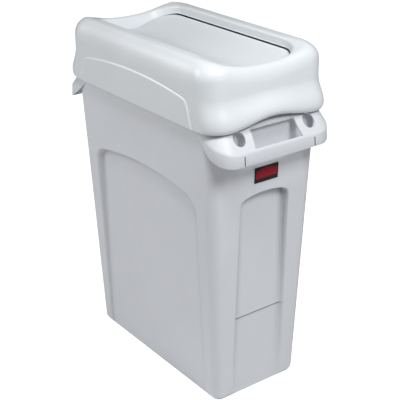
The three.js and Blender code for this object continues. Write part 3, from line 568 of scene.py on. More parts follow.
def moulded_plastic(name, colour, roughness, grain, coat=0.0, shine=0.5, painted_crevice_shade=0.2):
    """Moulded polyethylene: faint cloudiness, slight changes of gloss, a fine grain, and painted shade that
    darkens the colour in crevices.
    """
    material, tree, shader = new_material(name)
    links = tree.links
    shader.inputs["IOR"].default_value = 1.5
    shader.inputs["Specular IOR Level"].default_value = shine
    shader.inputs["Coat Weight"].default_value = coat
    shader.inputs["Coat Roughness"].default_value = 0.3
    place = tree.nodes.new("ShaderNodeTexCoord").outputs["Object"]

    tint = tree.nodes.new("ShaderNodeValToRGB")
    low, high = tint.color_ramp.elements
    low.position, high.position = 0.3, 0.7
    low.color = tuple(c * 0.975 for c in colour) + (1.0,)
    high.color = tuple(min(c * 1.02, 1.0) for c in colour) + (1.0,)
    links.new(noise(tree, place, scale=7.0, detail=3.0), tint.inputs["Fac"])

    # Painted shade: an occlusion probe darkens the colour in crevices and hollows of the same piece, down to
    # a share of it at the deepest
    corner = tree.nodes.new("ShaderNodeAmbientOcclusion")
    corner.samples = 8
    corner.only_local = True
    corner.inputs["Distance"].default_value = PAINTED_SHADE_REACH * MM
    shade = tree.nodes.new("ShaderNodeMix")
    shade.data_type = "RGBA"
    shade.blend_type = "MULTIPLY"
    shade.inputs["Factor"].default_value = 1.0
    links.new(tint.outputs["Color"], shade.inputs["A"])
    painted_shade = ranged(tree, corner.outputs["AO"], low=painted_crevice_shade, high=1.0, start=0.4, end=0.95)
    links.new(painted_shade, shade.inputs["B"])
    links.new(shade.outputs["Result"], shader.inputs["Base Color"])

    wear = noise(tree, place, scale=38.0, detail=5.0)
    gloss = ranged(tree, wear, low=roughness - 0.04, high=roughness + 0.04, start=0.3, end=0.7)
    links.new(gloss, shader.inputs["Roughness"])

    fine = noise(tree, place, scale=900.0, detail=2.0)
    links.new(bumped(tree, fine, strength=grain, distance=0.0002), shader.inputs["Normal"])
    return material


def drawn_steel(name):
    """Drawn steel bar with fine lines along its length."""
    material, tree, shader = new_material(name)
    links = tree.links
    shader.inputs["Metallic"].default_value = 1.0
    place = tree.nodes.new("ShaderNodeTexCoord")
    stretch = tree.nodes.new("ShaderNodeMapping")
    stretch.inputs["Scale"].default_value = (900.0, 12.0, 900.0)
    links.new(place.outputs["Object"], stretch.inputs["Vector"])
    lines = noise(tree, stretch.outputs["Vector"], scale=1.0, detail=4.0)
    tint = tree.nodes.new("ShaderNodeValToRGB")
    tint.color_ramp.elements[0].color = (0.42, 0.43, 0.45, 1.0)
    tint.color_ramp.elements[1].color = (0.66, 0.67, 0.69, 1.0)
    links.new(lines, tint.inputs["Fac"])
    links.new(tint.outputs["Color"], shader.inputs["Base Color"])
    links.new(ranged(tree, lines, low=0.24, high=0.42), shader.inputs["Roughness"])
    links.new(bumped(tree, lines, strength=0.15, distance=0.0001), shader.inputs["Normal"])
    return material


def seen_brighter(tree, socket, glow, seen_glow):
    """A white studio burns out in the picture, yet lights the piece only softly."""
    path = tree.nodes.new("ShaderNodeLightPath")
    tree.links.new(ranged(tree, path.outputs["Is Camera Ray"], glow, seen_glow), socket)


def lit_floor(name, colour, glow, seen_glow):
    """A pale studio floor with a glow of its own."""
    material, tree, shader = new_material(name)
    shader.inputs["Base Color"].default_value = colour + (1.0,)
    shader.inputs["Roughness"].default_value = 0.8
    shader.inputs["Emission Color"].default_value = (1.0, 1.0, 1.0, 1.0)
    seen_brighter(tree, shader.inputs["Emission Strength"], glow, seen_glow)
    return material


def dress(obj, material):
    obj.data.materials.clear()
    obj.data.materials.append(material)


# Shapes shared by the pieces
def rounded_ring(half_width, half_length, radius, height, long_at, end_at):
    """One closed row round a rounded rectangle. long_at and end_at are distances from the middles."""
    straight = half_length - radius
    level = half_width - radius
    quarter = [(half_width, y) for y in long_at(straight)]
    for i in range(CORNER_STEPS + 1):
        angle = math.pi / 2 * i / CORNER_STEPS
        quarter.append((level + radius * math.cos(angle), straight + radius * math.sin(angle)))
    quarter += [(x, half_length) for x in reversed(end_at(level))]
    back = list(reversed(quarter))
    outline = quarter + [(0.0, half_length)] + [(-x, y) for x, y in back[:-1]]
    outline += [(-half_width, 0.0)] + [(-x, -y) for x, y in quarter[1:]]
    outline += [(0.0, -half_length)] + [(x, -y) for x, y in back[:-1]]
    return [(x, y, height(abs(x), abs(y)) if callable(height) else height) for x, y in outline]


def by_share(shares):
    return lambda whole: [whole * share for share in shares]


def skin_half_width(z):
    return mix(BASE_HALF_WIDTH, TOP_HALF_WIDTH, z / TAPER_HEIGHT)


def skin_half_length(z):
    return mix(BASE_HALF_LENGTH, TOP_HALF_LENGTH, z / TAPER_HEIGHT)


def skin_radius(z):
    return mix(BASE_CORNER_RADIUS, TOP_CORNER_RADIUS, z / TAPER_HEIGHT)


def arch_mask(across, z, half, crown, drop, radius, side_run, top_run):
    """1 on a recess panel, 0 outside it, and smooth over its wall, with a run for its sides and its top."""
    top = crown - drop * (min(across, half) / half) ** 2
    out_across = max(across - (half - radius), 0.0)
    out_up = max(z - (top - radius), 0.0)
    lean = math.atan2(out_up, max(out_across, TINY)) / (math.pi / 2)
    run = mix(side_run, top_run, lean)
    return 1.0 - smooth(math.hypot(out_across, out_up) - radius, 0.0, run)


def end_recess_depth(x, z):
    run = mix(END_FOOT_RUN, END_TOP_RUN, min(z / END_CROWN, 1.0))
    panel_crown = END_CROWN - END_TOP_RUN
    mask = arch_mask(x, z, END_PANEL_HALF_WIDTH, panel_crown, END_ARCH_DROP, END_CORNER_RADIUS, run, run)
    reach = mix(END_PANEL_FOOT_REACH, END_PANEL_TOP_REACH, z / END_CROWN)
    step = 1.0 - smooth(z, STEP_HEIGHT - STEP_SOFTNESS, STEP_HEIGHT + STEP_SOFTNESS)
    reach -= (reach - STEP_REACH) * step
    groove = STEP_GROOVE * smooth(z, STEP_HEIGHT - STEP_GROOVE_FOOT, STEP_HEIGHT - STEP_GROOVE_TOP) * step
    return mask * (skin_half_length(z) - reach + groove)


def long_recess_depth(y, z):
    level = min(z / LONG_CROWN, 1.0)
    half = mix(LONG_PANEL_FOOT_HALF_LENGTH, LONG_PANEL_TOP_HALF_LENGTH, level)
    run = mix(LONG_RIM_FOOT_HALF_LENGTH, LONG_RIM_TOP_HALF_LENGTH, level) - half
    panel_crown = LONG_CROWN - LONG_TOP_RUN
    mask = arch_mask(y, z, half, panel_crown, LONG_ARCH_DROP, LONG_CORNER_RADIUS, run, LONG_TOP_RUN)
    reach = mix(LONG_PANEL_FOOT_REACH, LONG_PANEL_TOP_REACH, z / LONG_CROWN)
    return mask * (skin_half_width(z) - reach)


def door_top(x):
    rounded = math.hypot(x, VALLEY_ROUNDING) - VALLEY_ROUNDING
    whole = math.hypot(DOOR_HALF_WIDTH, VALLEY_ROUNDING) - VALLEY_ROUNDING
    return DOOR_EDGE_HEIGHT - VALLEY_DEPTH * (1.0 - rounded / whole)


def end_share(y):
    return smooth(y, BLEND_START, BLEND_END)


def crest_height(x, y):
    """Level along the long sides, with a dip across the ends."""
    share = min(x / CREST_DIP_HALF_WIDTH, 1.0)
    across = 1.0 - share**CREST_DIP_POWER
    return RIDGE_HEIGHT - CREST_DIP * across * smooth(y, CREST_DIP_START, CREST_DIP_END)


def foot_height(x, y):
    """Level along the long sides, with a low arch in each end."""
    if y <= HOOD_HALF_LENGTH - HOOD_END_BAND:
        return HOOD_FOOT_HEIGHT
    return HOOD_FOOT_HEIGHT + HOOD_FOOT_ARCH * (1.0 - smooth(x, 0.0, HOOD_ARCH_HALF_WIDTH))


def flare(share):
    return along(FLARE_SHARES, share)


# Container shapes
def long_columns(straight):
    fine = (LONG_FINE_START, LONG_FINE_END, 26)
    return spread((0.0, LONG_FINE_START, 12), fine, (LONG_FINE_END, straight, 3))[:-1]


def end_columns(level):
    fine = (END_FINE_START, END_FINE_END, 28)
    return spread((0.0, END_FINE_START, 11), fine, (END_FINE_END, level, 3))[1:-1]


def skin_ring(z, inset, radius):
    """A plain row round the container, drawn in from its skin."""
    return rounded_ring(skin_half_width(z) - inset, skin_half_length(z) - inset,
                        max(radius - inset, LEAST_RADIUS), z, long_columns, end_columns)


def recessed_ring(z, inset, radius, wall=0.0):
    """A row that follows the recess panels, but comes no further out than its inset lets it."""
    spare = inset - wall
    half_width = skin_half_width(z) - inset
    half_length = skin_half_length(z) - inset
    ring = []
    for x, y, height in skin_ring(z, inset, radius):
        if abs(abs(x) - half_width) < TINY:
            x -= math.copysign(max(long_recess_depth(abs(y), z) - spare, 0.0), x)
        elif abs(abs(y) - half_length) < TINY:
            y -= math.copysign(max(end_recess_depth(abs(x), z) - spare, 0.0), y)
        ring.append((x, y, height))
    return ring


def container_rings():
    """From the foot up outside, over the rim, and down inside to the floor."""
    rings = [recessed_ring(z, inset, BASE_CORNER_RADIUS) for z, inset in PLINTH_ROWS]
    rings += [recessed_ring(z, 0.0, skin_radius(z)) for z in spread(*OUTER_STRETCHES)[1:]]
    rings += [skin_ring(z, inset, skin_radius(z)) for z, inset in RIM_ROWS]
    rings += [recessed_ring(z, WALL, skin_radius(z), WALL) for z in spread(*INNER_STRETCHES)]
    rings += [recessed_ring(z, inset, BASE_CORNER_RADIUS, WALL) for z, inset in FLOOR_ROWS]
    return rings


def fin(side, y):
    """One fin of a vent channel on the inside of a long wall. It leans with the recess panel."""
    slope = (LONG_PANEL_TOP_REACH - LONG_PANEL_FOOT_REACH) / LONG_CROWN
    inner_foot = LONG_PANEL_FOOT_REACH - WALL - FIN_DEPTH
    profile = [
        (inner_foot + slope * FIN_FOOT, FIN_FOOT),
        (LONG_PANEL_FOOT_REACH - FIN_EMBED, FIN_FOOT),
        (LONG_PANEL_FOOT_REACH + slope * FIN_PANEL_TOP - FIN_EMBED, FIN_PANEL_TOP),
        (skin_half_width(FIN_SKIN_FOOT) - FIN_EMBED, FIN_SKIN_FOOT),
        (skin_half_width(FIN_TOP) - FIN_EMBED, FIN_TOP),
        (inner_foot + slope * FIN_TOP + FIN_CHAMFER, FIN_TOP - FIN_CHAMFER_DROP),
        (inner_foot + slope * FIN_SHOULDER, FIN_SHOULDER),
    ]
    outline = [(side * x, y - FIN_SHEET / 2, z) for x, z in profile]
    return plate("channel_fin", outline, (0.0, FIN_SHEET, 0.0), bevel=FIN_BEVEL)


def channel_fins():
    """The pairs of fins that make the vent channels."""
    return [fin(side, centre + offset)
            for side in (-1.0, 1.0)
            for centre in (-FIN_CENTRE, FIN_CENTRE)
            for offset in (-FIN_OFFSET, FIN_OFFSET)]


# Handle shapes
def grip_stations():
    """Places round half a handle's outer edge: x, y, the way out, and the share of the whole way."""
    straight = GRIP_HALF_WIDTH - GRIP_CORNER_RADIUS
    arc = GRIP_CORNER_RADIUS * math.pi / 2
    whole = straight + arc + GRIP_TAIL
    centre_y = GRIP_HALF_LENGTH - GRIP_CORNER_RADIUS
    stations = [(0.0, -GRIP_HALF_LENGTH, 0.0, -1.0, 0.0)]
    for i in range(GRIP_CORNER_STEPS + 1):
        share = i / GRIP_CORNER_STEPS
        nx, ny = math.sin(math.pi / 2 * share), -math.cos(math.pi / 2 * share)
        x = straight + GRIP_CORNER_RADIUS * nx
        y = GRIP_CORNER_RADIUS * ny - centre_y
        stations.append((x, y, nx, ny, (straight + arc * share) / whole))
    for i in range(1, GRIP_TAIL_STEPS + 1):
        share = i / GRIP_TAIL_STEPS
        x = mix(GRIP_HALF_WIDTH, skin_half_width(GRIP_ROOT_SHOULDER), share**2)
        y = GRIP_TAIL * share - centre_y
        stations.append((x, y, 1.0, 0.0, (straight + arc + GRIP_TAIL * share) / whole))
    return stations


def grip_root(x, y):
    """The point of the container's skin that a station of the handle grows from."""
    half_width = skin_half_width(TAPER_HEIGHT) - GRIP_ROOT_INSET
    half_length = skin_half_length(TAPER_HEIGHT) - GRIP_ROOT_INSET
    radius = TOP_CORNER_RADIUS - GRIP_ROOT_INSET
    corner_x, corner_y = half_width - radius, half_length - radius
    over_x, over_y = max(x - corner_x, 0.0), max(-y - corner_y, 0.0)
    length = math.hypot(over_x, over_y)
    return (min(x, corner_x) + radius * over_x / length, -min(-y, corner_y) - radius * over_y / length)


def ramp_rise(share, start, power):
    return (max(share - start, 0.0) / (1.0 - start)) ** power


def grip_section(station):
    """The handle's cross-section at a station, from its root over the edge to the foot and back."""
    x, y, nx, ny, share = station
    root_x, root_y = grip_root(x, y)
    reach = math.hypot(x - root_x, y - root_y)
    sheet = min(GRIP_SHEET, reach * 0.6)
    root_top = mix(GRIP_ROOT_CROWN, GRIP_ROOT_SHOULDER, smooth(share, GRIP_FOOT_START_SHARE, 1.0))
    edge = GRIP_EDGE_HEIGHT + GRIP_EDGE_RISE * ramp_rise(share, GRIP_EDGE_START_SHARE, GRIP_EDGE_POWER)
    foot = GRIP_FOOT_HEIGHT + GRIP_FOOT_RISE * ramp_rise(share, GRIP_FOOT_START_SHARE, GRIP_FOOT_POWER)
    kick = APRON_KICK * (1.0 - share**2)
    slope = (root_top - edge) / reach
    soft = min(GRIP_EDGE_ROUNDING, sheet * 0.8)
    lip = min(GRIP_LIP, sheet * 0.3)

    def at(out, z):
        return (x + nx * out, y + ny * out, z)

    return [
        (root_x, root_y, root_top),
        at(-soft, edge + slope * soft),
        at(-soft * 0.42, edge + slope * soft * 0.34),
        at(-soft * 0.08, edge - soft * 0.28),
        at(0.0, edge - soft),
        at(kick, foot + lip),
        at(kick - lip * 0.3, foot + lip * 0.3),
        at(kick - lip, foot),
        at(kick - sheet + lip, foot),
        at(kick - sheet, foot + lip),
        at(-sheet, edge + slope * sheet - GRIP_SHEET_DROP + sheet / 2),
        (root_x, root_y, root_top - GRIP_SHEET_DROP - sheet / 2),
    ]


def grip_slope():
    return math.atan2(GRIP_ROOT_CROWN - GRIP_EDGE_HEIGHT, GRIP_HALF_LENGTH - TOP_HALF_LENGTH)


def hand_hole_cutter():
    """A prism with rounded inner corners, a little wider at the outer edge."""
    radius = HAND_HOLE_RADIUS
    level = HAND_HOLE_INNER + radius
    flare_out = HAND_HOLE_FOOT_HALF_WIDTH - HAND_HOLE_TOP_HALF_WIDTH
    half = []
    for i in range(HAND_HOLE_STEPS + 1):
        share = i / HAND_HOLE_STEPS
        x = HAND_HOLE_TOP_HALF_WIDTH + flare_out * (1.0 - share) ** 2
        half.append((x, -mix(HAND_HOLE_OUTER, level, share)))
    for i in range(1, HAND_HOLE_STEPS + 1):
        angle = math.pi / 2 * i / HAND_HOLE_STEPS
        x = HAND_HOLE_TOP_HALF_WIDTH - radius * (1.0 - math.cos(angle))
        half.append((x, -level + radius * math.sin(angle)))
    outline = half + [(-x, y) for x, y in reversed(half)]
    return plate("hand_hole_cutter", [(x, y, HAND_CUT_FOOT) for x, y in outline], (0.0, 0.0, HAND_CUT_HEIGHT))


def cinch_cutter(side):
    """A slightly oval cylinder that stands square on the handle's slope."""
    slope = grip_slope()
    height = GRIP_EDGE_HEIGHT + math.tan(slope) * (GRIP_HALF_LENGTH - CINCH_REACH)
    none_selected()
    bpy.ops.mesh.primitive_cylinder_add(
        vertices=40, radius=CINCH_DIAMETER / 2 * MM, depth=CINCH_CUT_DEPTH * MM,
        location=(side * CINCH_OFFSET * MM, -CINCH_REACH * MM, height * MM), rotation=(slope, 0.0, 0.0))
    cutter = bpy.context.object
    cutter.scale = CINCH_SHAPE_SHARES
    place_mesh(cutter)
    return cutter


def slit_cutter(side):
    left = side * SLIT_OFFSET - SLIT_WIDTH / 2
    right = side * SLIT_OFFSET + SLIT_WIDTH / 2
    outline = [(left, -SLIT_REACH, SLIT_FOOT), (right, -SLIT_REACH, SLIT_FOOT),
               (right, -SLIT_REACH, SLIT_TOP), (left, -SLIT_REACH, SLIT_TOP)]
    return plate("slit_cutter", outline, (0.0, -SLIT_DEPTH, 0.0))


# Hood shapes
def hood_ring(half_width, half_length, radius, height):
    return rounded_ring(half_width, half_length, radius, height,
                        by_share(HOOD_LONG_SHARES), by_share(HOOD_END_SHARES))


def skirt_ring(share, inset):
    """A row of the skirt, from its foot at 0 to the top of the flare at 1."""
    out = flare(share)
    return hood_ring(
        HOOD_HALF_WIDTH + HOOD_SIDE_FLARE * out - inset,
        HOOD_HALF_LENGTH + HOOD_FLARE * out - inset,
        HOOD_CORNER_RADIUS - inset,
        lambda x, y: mix(foot_height(x, y), FLARE_TOP, share),
    )


def shoulder_ring(share, inset):
    """A row of the rounded shoulder, from the top of the skirt at 0 up to the crest at 1."""
    angle = math.pi / 2 * share
    inward, upward = 1.0 - math.cos(angle), math.sin(angle)

    def height(x, y):
        end_foot = crest_height(x, y) - END_SHOULDER_DROP
        foot = mix(RIDGE_HEIGHT - LONG_SHOULDER_DROP, end_foot, end_share(y))
        return mix(foot, crest_height(x, y) - inset, upward)

    return hood_ring(
        mix(HOOD_HALF_WIDTH - inset, RIDGE_HALF_WIDTH, inward),
        mix(HOOD_HALF_LENGTH - inset, CREST_HALF_LENGTH, inward),
        mix(HOOD_CORNER_RADIUS - inset, CREST_RADIUS, inward),
        height,
    )


def crest_flat_ring(share):
    """The level top of a ridge, from its outer shoulder in to its inner rounding."""
    return hood_ring(
        mix(RIDGE_HALF_WIDTH, RIDGE_INNER_HALF_WIDTH + LONG_CREST_ROUNDING, share),
        CREST_HALF_LENGTH - CREST_NARROWING * share,
        CREST_RADIUS,
        crest_height,
    )


def crest_inner_ring(share):
    """The rounding from the crest over to the inner wall of a ridge, or to the slope at an end."""
    long_angle = math.pi / 2 * share
    end_angle = math.radians(END_CREST_DEGREES) * share

    def height(x, y):
        long_drop = LONG_CREST_ROUNDING * (1.0 - math.cos(long_angle))
        end_drop = END_CREST_ROUNDING * (1.0 - math.cos(end_angle))
        return crest_height(x, y) - mix(long_drop, end_drop, end_share(y))

    return hood_ring(
        RIDGE_INNER_HALF_WIDTH + LONG_CREST_ROUNDING * (1.0 - math.sin(long_angle)),
        CREST_HALF_LENGTH - CREST_NARROWING - END_CREST_ROUNDING * math.sin(end_angle),
        CREST_RADIUS - CREST_RADIUS_LOSS * share,
        height,
    )


def opening_height(x, y, lift):
    rise = mix(SIDE_LIP_RISE, END_LIP_RISE, smooth(y, LIP_BLEND_START, LIP_BLEND_END))
    return door_top(min(x, DOOR_HALF_WIDTH)) + rise + lift


def slope_ring(share):
    """From the crest's inner edge at 0 down to the lip round the door's opening at 1."""
    turn = math.radians(END_CREST_DEGREES)
    start_length = CREST_HALF_LENGTH - CREST_NARROWING - END_CREST_ROUNDING * math.sin(turn)
    end_drop = END_CREST_ROUNDING * (1.0 - math.cos(turn))

    def height(x, y):
        top = crest_height(x, y) - mix(LONG_CREST_ROUNDING, end_drop, end_share(y))
        return mix(top, opening_height(x, y, LIP_LIFT), share)

    return hood_ring(
        mix(RIDGE_INNER_HALF_WIDTH, DOOR_HALF_WIDTH + DOOR_GAP, share),
        mix(start_length, DOOR_HALF_LENGTH + DOOR_END_GAP, share),
        mix(CREST_RADIUS - CREST_RADIUS_LOSS, DOOR_RADIUS + DOOR_END_GAP, share),
        height,
    )


def opening_ring(grow, lift):
    """A row round the door's opening."""
    return hood_ring(DOOR_HALF_WIDTH + DOOR_GAP + grow, DOOR_HALF_LENGTH + DOOR_END_GAP + grow,
                     DOOR_RADIUS + DOOR_END_GAP + grow, lambda x, y: opening_height(x, y, lift))


def crest_underside_ring():
    def height(x, y):
        return crest_height(x, y) - mix(LONG_CREST_ROUNDING, END_CREST_ROUNDING, end_share(y))

    return hood_ring(RIDGE_INNER_HALF_WIDTH + HOOD_SHEET, SLOPE_START + HOOD_SHEET,
                     CREST_RADIUS + CREST_RADIUS_LOSS, height)


def hood_rings():
    """From the foot of the skirt up outside, over the crest to the opening, and back down inside."""
    rings = [skirt_ring(share, 0.0) for share in spread((0.0, 0.3, 7), (0.3, 1.0, 14))]
    rings += [shoulder_ring(share, 0.0) for share in spread((0.0, 1.0, 20))]
    rings += [crest_flat_ring(share) for share in spread((0.0, 1.0, 4))[1:]]
    rings += [crest_inner_ring(share) for share in spread((0.0, 1.0, 7))[1:]]
    rings += [slope_ring(share) for share in spread((0.0, 1.0, 8))[1:]]
    rings += [opening_ring(grow, lift) for grow, lift in LIP_ROWS]
    rings += [crest_underside_ring()]
    rings += [shoulder_ring(share, HOOD_SHEET) for share in reversed(spread((0.0, 1.0, 8)))]
    rings += [skirt_ring(share, HOOD_SHEET) for share in reversed(spread((0.04, 1.0, 10)))]
    rings += [skirt_ring(0.004, HOOD_SHEET - HOOD_FOOT_ROUNDING), skirt_ring(0.0, HOOD_SHEET / 2)]
    return rings + [rings[0]]


def side_reach(z):
    """How far out the long side of the skirt is at a height."""
    share = (z - HOOD_FOOT_HEIGHT) / (FLARE_TOP - HOOD_FOOT_HEIGHT)
    return HOOD_HALF_WIDTH + HOOD_SIDE_FLARE * flare(min(max(share, 0.0), 1.0))


def pad_outline():
    """A side panel's outline: leaning sides, a curved corner and a low arch, as (along, height)."""
    half = list(PAD_SIDE)
    (y0, z0), (y1, z1), (y2, z2) = PAD_SIDE[-1], PAD_CORNER, PAD_SHOULDER
    for i in range(1, PAD_CORNER_STEPS + 1):
        t = i / PAD_CORNER_STEPS
        half.append(((1 - t) ** 2 * y0 + 2 * (1 - t) * t * y1 + t**2 * y2,
                     (1 - t) ** 2 * z0 + 2 * (1 - t) * t * z1 + t**2 * z2))
    for i in range(1, PAD_TOP_STEPS):
        share = 1.0 - i / PAD_TOP_STEPS
        half.append((y2 * share, mix(PAD_CROWN, z2, share**2)))
    return half + [(0.0, PAD_CROWN)] + [(-y, z) for y, z in reversed(half)]


def pad_ring(out, shrink):
    """The panel's outline, drawn in from its edge by a distance, standing out from the skirt."""
    ring = []
    for y, z in pad_outline():
        inward = Vector((y, (z - PAD_SHRINK_HEIGHT) * PAD_SHRINK_SHARE)).normalized() * shrink
        z_in = max(z - inward.y, HOOD_FOOT_HEIGHT)
        ring.append((side_reach(z_in) + out, y - inward.x, z_in))
    return ring


def pad_rings(proud):
    rings = [pad_ring(-PAD_EMBED, 0.0)]
    rings += [pad_ring(proud * share, shrink) for share, shrink in PAD_EDGE_ROWS]
    for share in PAD_FILL_SHARES:
        ring = []
        for y, z in pad_outline():
            z_in = mix(PAD_FILL_FOOT, z, share)
            ring.append((side_reach(z_in) + proud, y * share, z_in))
        rings.append(ring)
    return rings


def shelf_rings():
    """The flat shelf inside the hood that rests over the container's rim."""
    foot = BODY_HEIGHT + SHELF_CLEARANCE
    top = foot + SHELF_SHEET

    def row(inset, height):
        return hood_ring(HOOD_HALF_WIDTH - inset, HOOD_HALF_LENGTH - inset,
                         HOOD_CORNER_RADIUS - inset, height)

    inner = SHELF_LAP + SHELF_WIDTH
    return [
        row(SHELF_LAP, foot),
        row(SHELF_LAP, top),
        row(inner - SHELF_ROUNDING, top),
        row(inner, top - SHELF_ROUNDING),
        row(inner, foot),
        row(SHELF_LAP, foot),
    ]


def pin_bracket():
    """The plate under one end of the hood, with the bore that holds a pin."""
    outer = -GABLE_REACH - GABLE_SHEET
    outline = [(-GABLE_HALF_WIDTH, outer, GABLE_FOOT), (GABLE_HALF_WIDTH, outer, GABLE_FOOT),
               (GABLE_HALF_WIDTH, outer, GABLE_TOP), (-GABLE_HALF_WIDTH, outer, GABLE_TOP)]
    bracket = plate("pin_bracket", outline, (0.0, GABLE_SHEET, 0.0))
    cut(bracket, lying_cylinder(BORE_RADIUS, BORE_CUT_LENGTH, outer, PIVOT_HEIGHT))
    round_edges(bracket, BRACKET_BEVEL)
    return bracket


def bracket_rib(side):
    """A rib that ties the plate to the end of the hood."""
    x = side * RIB_OFFSET - RIB_SHEET / 2
    start = -GABLE_REACH - RIB_EMBED
    profile = [(start, GABLE_FOOT), (start, GABLE_TOP), (-RIB_REACH, GABLE_TOP),
               (-RIB_REACH, GABLE_FOOT + RIB_CHAMFER), (RIB_CHAMFER - RIB_REACH, GABLE_FOOT)]
    outline = [(x, y, z) for y, z in profile]
    return plate("pin_bracket_rib", outline, (RIB_SHEET, 0.0, 0.0), bevel=BRACKET_BEVEL)


def pin_brackets():
    return [pin_bracket(), bracket_rib(-1.0), bracket_rib(1.0)]


# Door shapes
def door_ring(inset, drop):
    return rounded_ring(
        DOOR_HALF_WIDTH - inset, DOOR_HALF_LENGTH - inset, max(DOOR_RADIUS - inset, DOOR_LEAST_RADIUS),
        lambda x, y: door_top(x) - drop,
        by_share(DOOR_LONG_SHARES), by_share(DOOR_END_SHARES))


def door_rings(rounding):
    """From the middle of the underside out, down and up the turned-down edge, and in over the top."""
    middle = DOOR_HALF_WIDTH - DOOR_MIDDLE_HALF_WIDTH
    soft = DOOR_FLANGE_ROUNDING
    rings = [door_ring(inset, DOOR_SHEET) for inset in spread((middle, DOOR_EDGE_WIDTH, 18))]
    rings += [door_ring(DOOR_SHEET + DOOR_CORNER_FILL, DOOR_SHEET + 0.2),
              door_ring(DOOR_SHEET, DOOR_SHEET + DOOR_CORNER_FILL),
              door_ring(DOOR_SHEET, DOOR_FLANGE - soft), door_ring(DOOR_SHEET - soft, DOOR_FLANGE),
              door_ring(soft, DOOR_FLANGE), door_ring(0.0, DOOR_FLANGE - soft)]
    for i in range(DOOR_EDGE_STEPS + 1):
        angle = math.pi / 2 * i / DOOR_EDGE_STEPS
        rings.append(door_ring(rounding * (1.0 - math.cos(angle)), rounding * (1.0 - math.sin(angle))))
    rings += [door_ring(inset, 0.0) for inset in spread((DOOR_EDGE_WIDTH, middle, 26))]
    return rings


def door_ears():
    """The ear under each end of the door, round below its bore."""
    reach = -DOOR_HALF_LENGTH
    outline = []
    for i in range(EAR_STEPS + 1):
        angle = math.pi + math.pi * i / EAR_STEPS
        x, drop = EAR_HALF_WIDTH * math.cos(angle), EAR_HALF_WIDTH * math.sin(angle)
        outline.append((x, reach, PIVOT_HEIGHT + drop))
    top = door_top(0.0) - DOOR_SHEET / 2
    outline += [(EAR_HALF_WIDTH, reach, top), (-EAR_HALF_WIDTH, reach, top)]
    ear = plate("door_ear", outline, (0.0, EAR_SHEET, 0.0))
    cut(ear, lying_cylinder(BORE_RADIUS, BORE_CUT_LENGTH, reach, PIVOT_HEIGHT))
    round_edges(ear, EAR_BEVEL)
    return [ear, copy_turned(ear, "door_ear_rear")]


def door_clips():
    """The clip under each end of the door, open below, that the counterweight bar snaps into."""
    foot = BAR_HEIGHT - CLIP_DROP
    mouth = BAR_HEIGHT - CLIP_MOUTH_DROP
    top = door_top(0.0) - DOOR_SHEET / 2
    profile = [(-CLIP_FOOT_HALF_WIDTH, foot), (-CLIP_MOUTH_HALF_WIDTH, foot), (-CLIP_MOUTH_HALF_WIDTH, mouth)]
    for i in range(CLIP_STEPS + 1):
        angle = math.radians(CLIP_START_DEGREES) - math.radians(CLIP_TURN_DEGREES) * i / CLIP_STEPS
        profile.append((CLIP_RADIUS * math.cos(angle), BAR_HEIGHT + CLIP_RADIUS * math.sin(angle)))
    profile += [(CLIP_MOUTH_HALF_WIDTH, mouth), (CLIP_MOUTH_HALF_WIDTH, foot), (CLIP_FOOT_HALF_WIDTH, foot),
                (CLIP_TOP_HALF_WIDTH, top), (-CLIP_TOP_HALF_WIDTH, top)]
    start = -CLIP_REACH - CLIP_SHEET / 2
    outline = [(x, start, z) for x, z in profile]
    clip = plate("bar_clip", outline, (0.0, CLIP_SHEET, 0.0), bevel=CLIP_BEVEL)
    return [clip, copy_turned(clip, "bar_clip_rear")]


# Stage
def hang_softbox(context, name, place, target, size, watts):
    light = bpy.data.lights.new(name, "AREA")
    light.shape = "RECTANGLE"
    light.size, light.size_y = size
    light.energy = watts
    lamp = bpy.data.objects.new(name, light)
    context.scene.collection.objects.link(lamp)
    lamp.location = place
    lamp.rotation_euler = (Vector(target) - Vector(place)).to_track_quat("-Z", "Y").to_euler()
    lamp.visible_camera = False


def set_camera(context):
    camera = bpy.data.cameras.new("camera")
    camera.sensor_width = SENSOR_WIDTH
    camera.lens = FOCAL_PIXELS / PICTURE_PIXELS * SENSOR_WIDTH
    camera.clip_end = 50.0
    holder = bpy.data.objects.new("camera", camera)
    context.scene.collection.objects.link(holder)
    azimuth, elevation = math.radians(CAMERA_AZIMUTH), math.radians(CAMERA_ELEVATION)
    holder.location = CAMERA_PLACE
    forward = Vector((-math.sin(azimuth) * math.cos(elevation), math.cos(azimuth) * math.cos(elevation),
                      -math.sin(elevation)))
    turn = forward.to_track_quat("-Z", "Y").to_matrix().to_4x4()
    holder.rotation_euler = (turn @ Matrix.Rotation(math.radians(CAMERA_ROLL), 4, "Z")).to_euler()
    context.scene.camera = holder


# Settings
class BinSizes(bpy.types.PropertyGroup):
    """Sizes that a user would change."""

    pad_proud: FloatProperty(
        name="Side panel height", description="How far the hood's side panels stand out",
        default=PAD_PROUD * MM, min=0.0005, max=0.004, unit="LENGTH")
    door_rounding: FloatProperty(
        name="Door edge rounding", description="Radius along the door's top edge",
        default=0.0022, min=0.0005, max=0.0028, unit="LENGTH")
    badge_size: FloatVectorProperty(
        name="Badge size", description="Width, thickness and height of the badge",
        size=3, default=(0.058, 0.0012, 0.032), unit="LENGTH")
    facets: IntProperty(
        name="Badge corner steps", description="Facets in each corner of the badge",
        default=5, min=1, max=12)


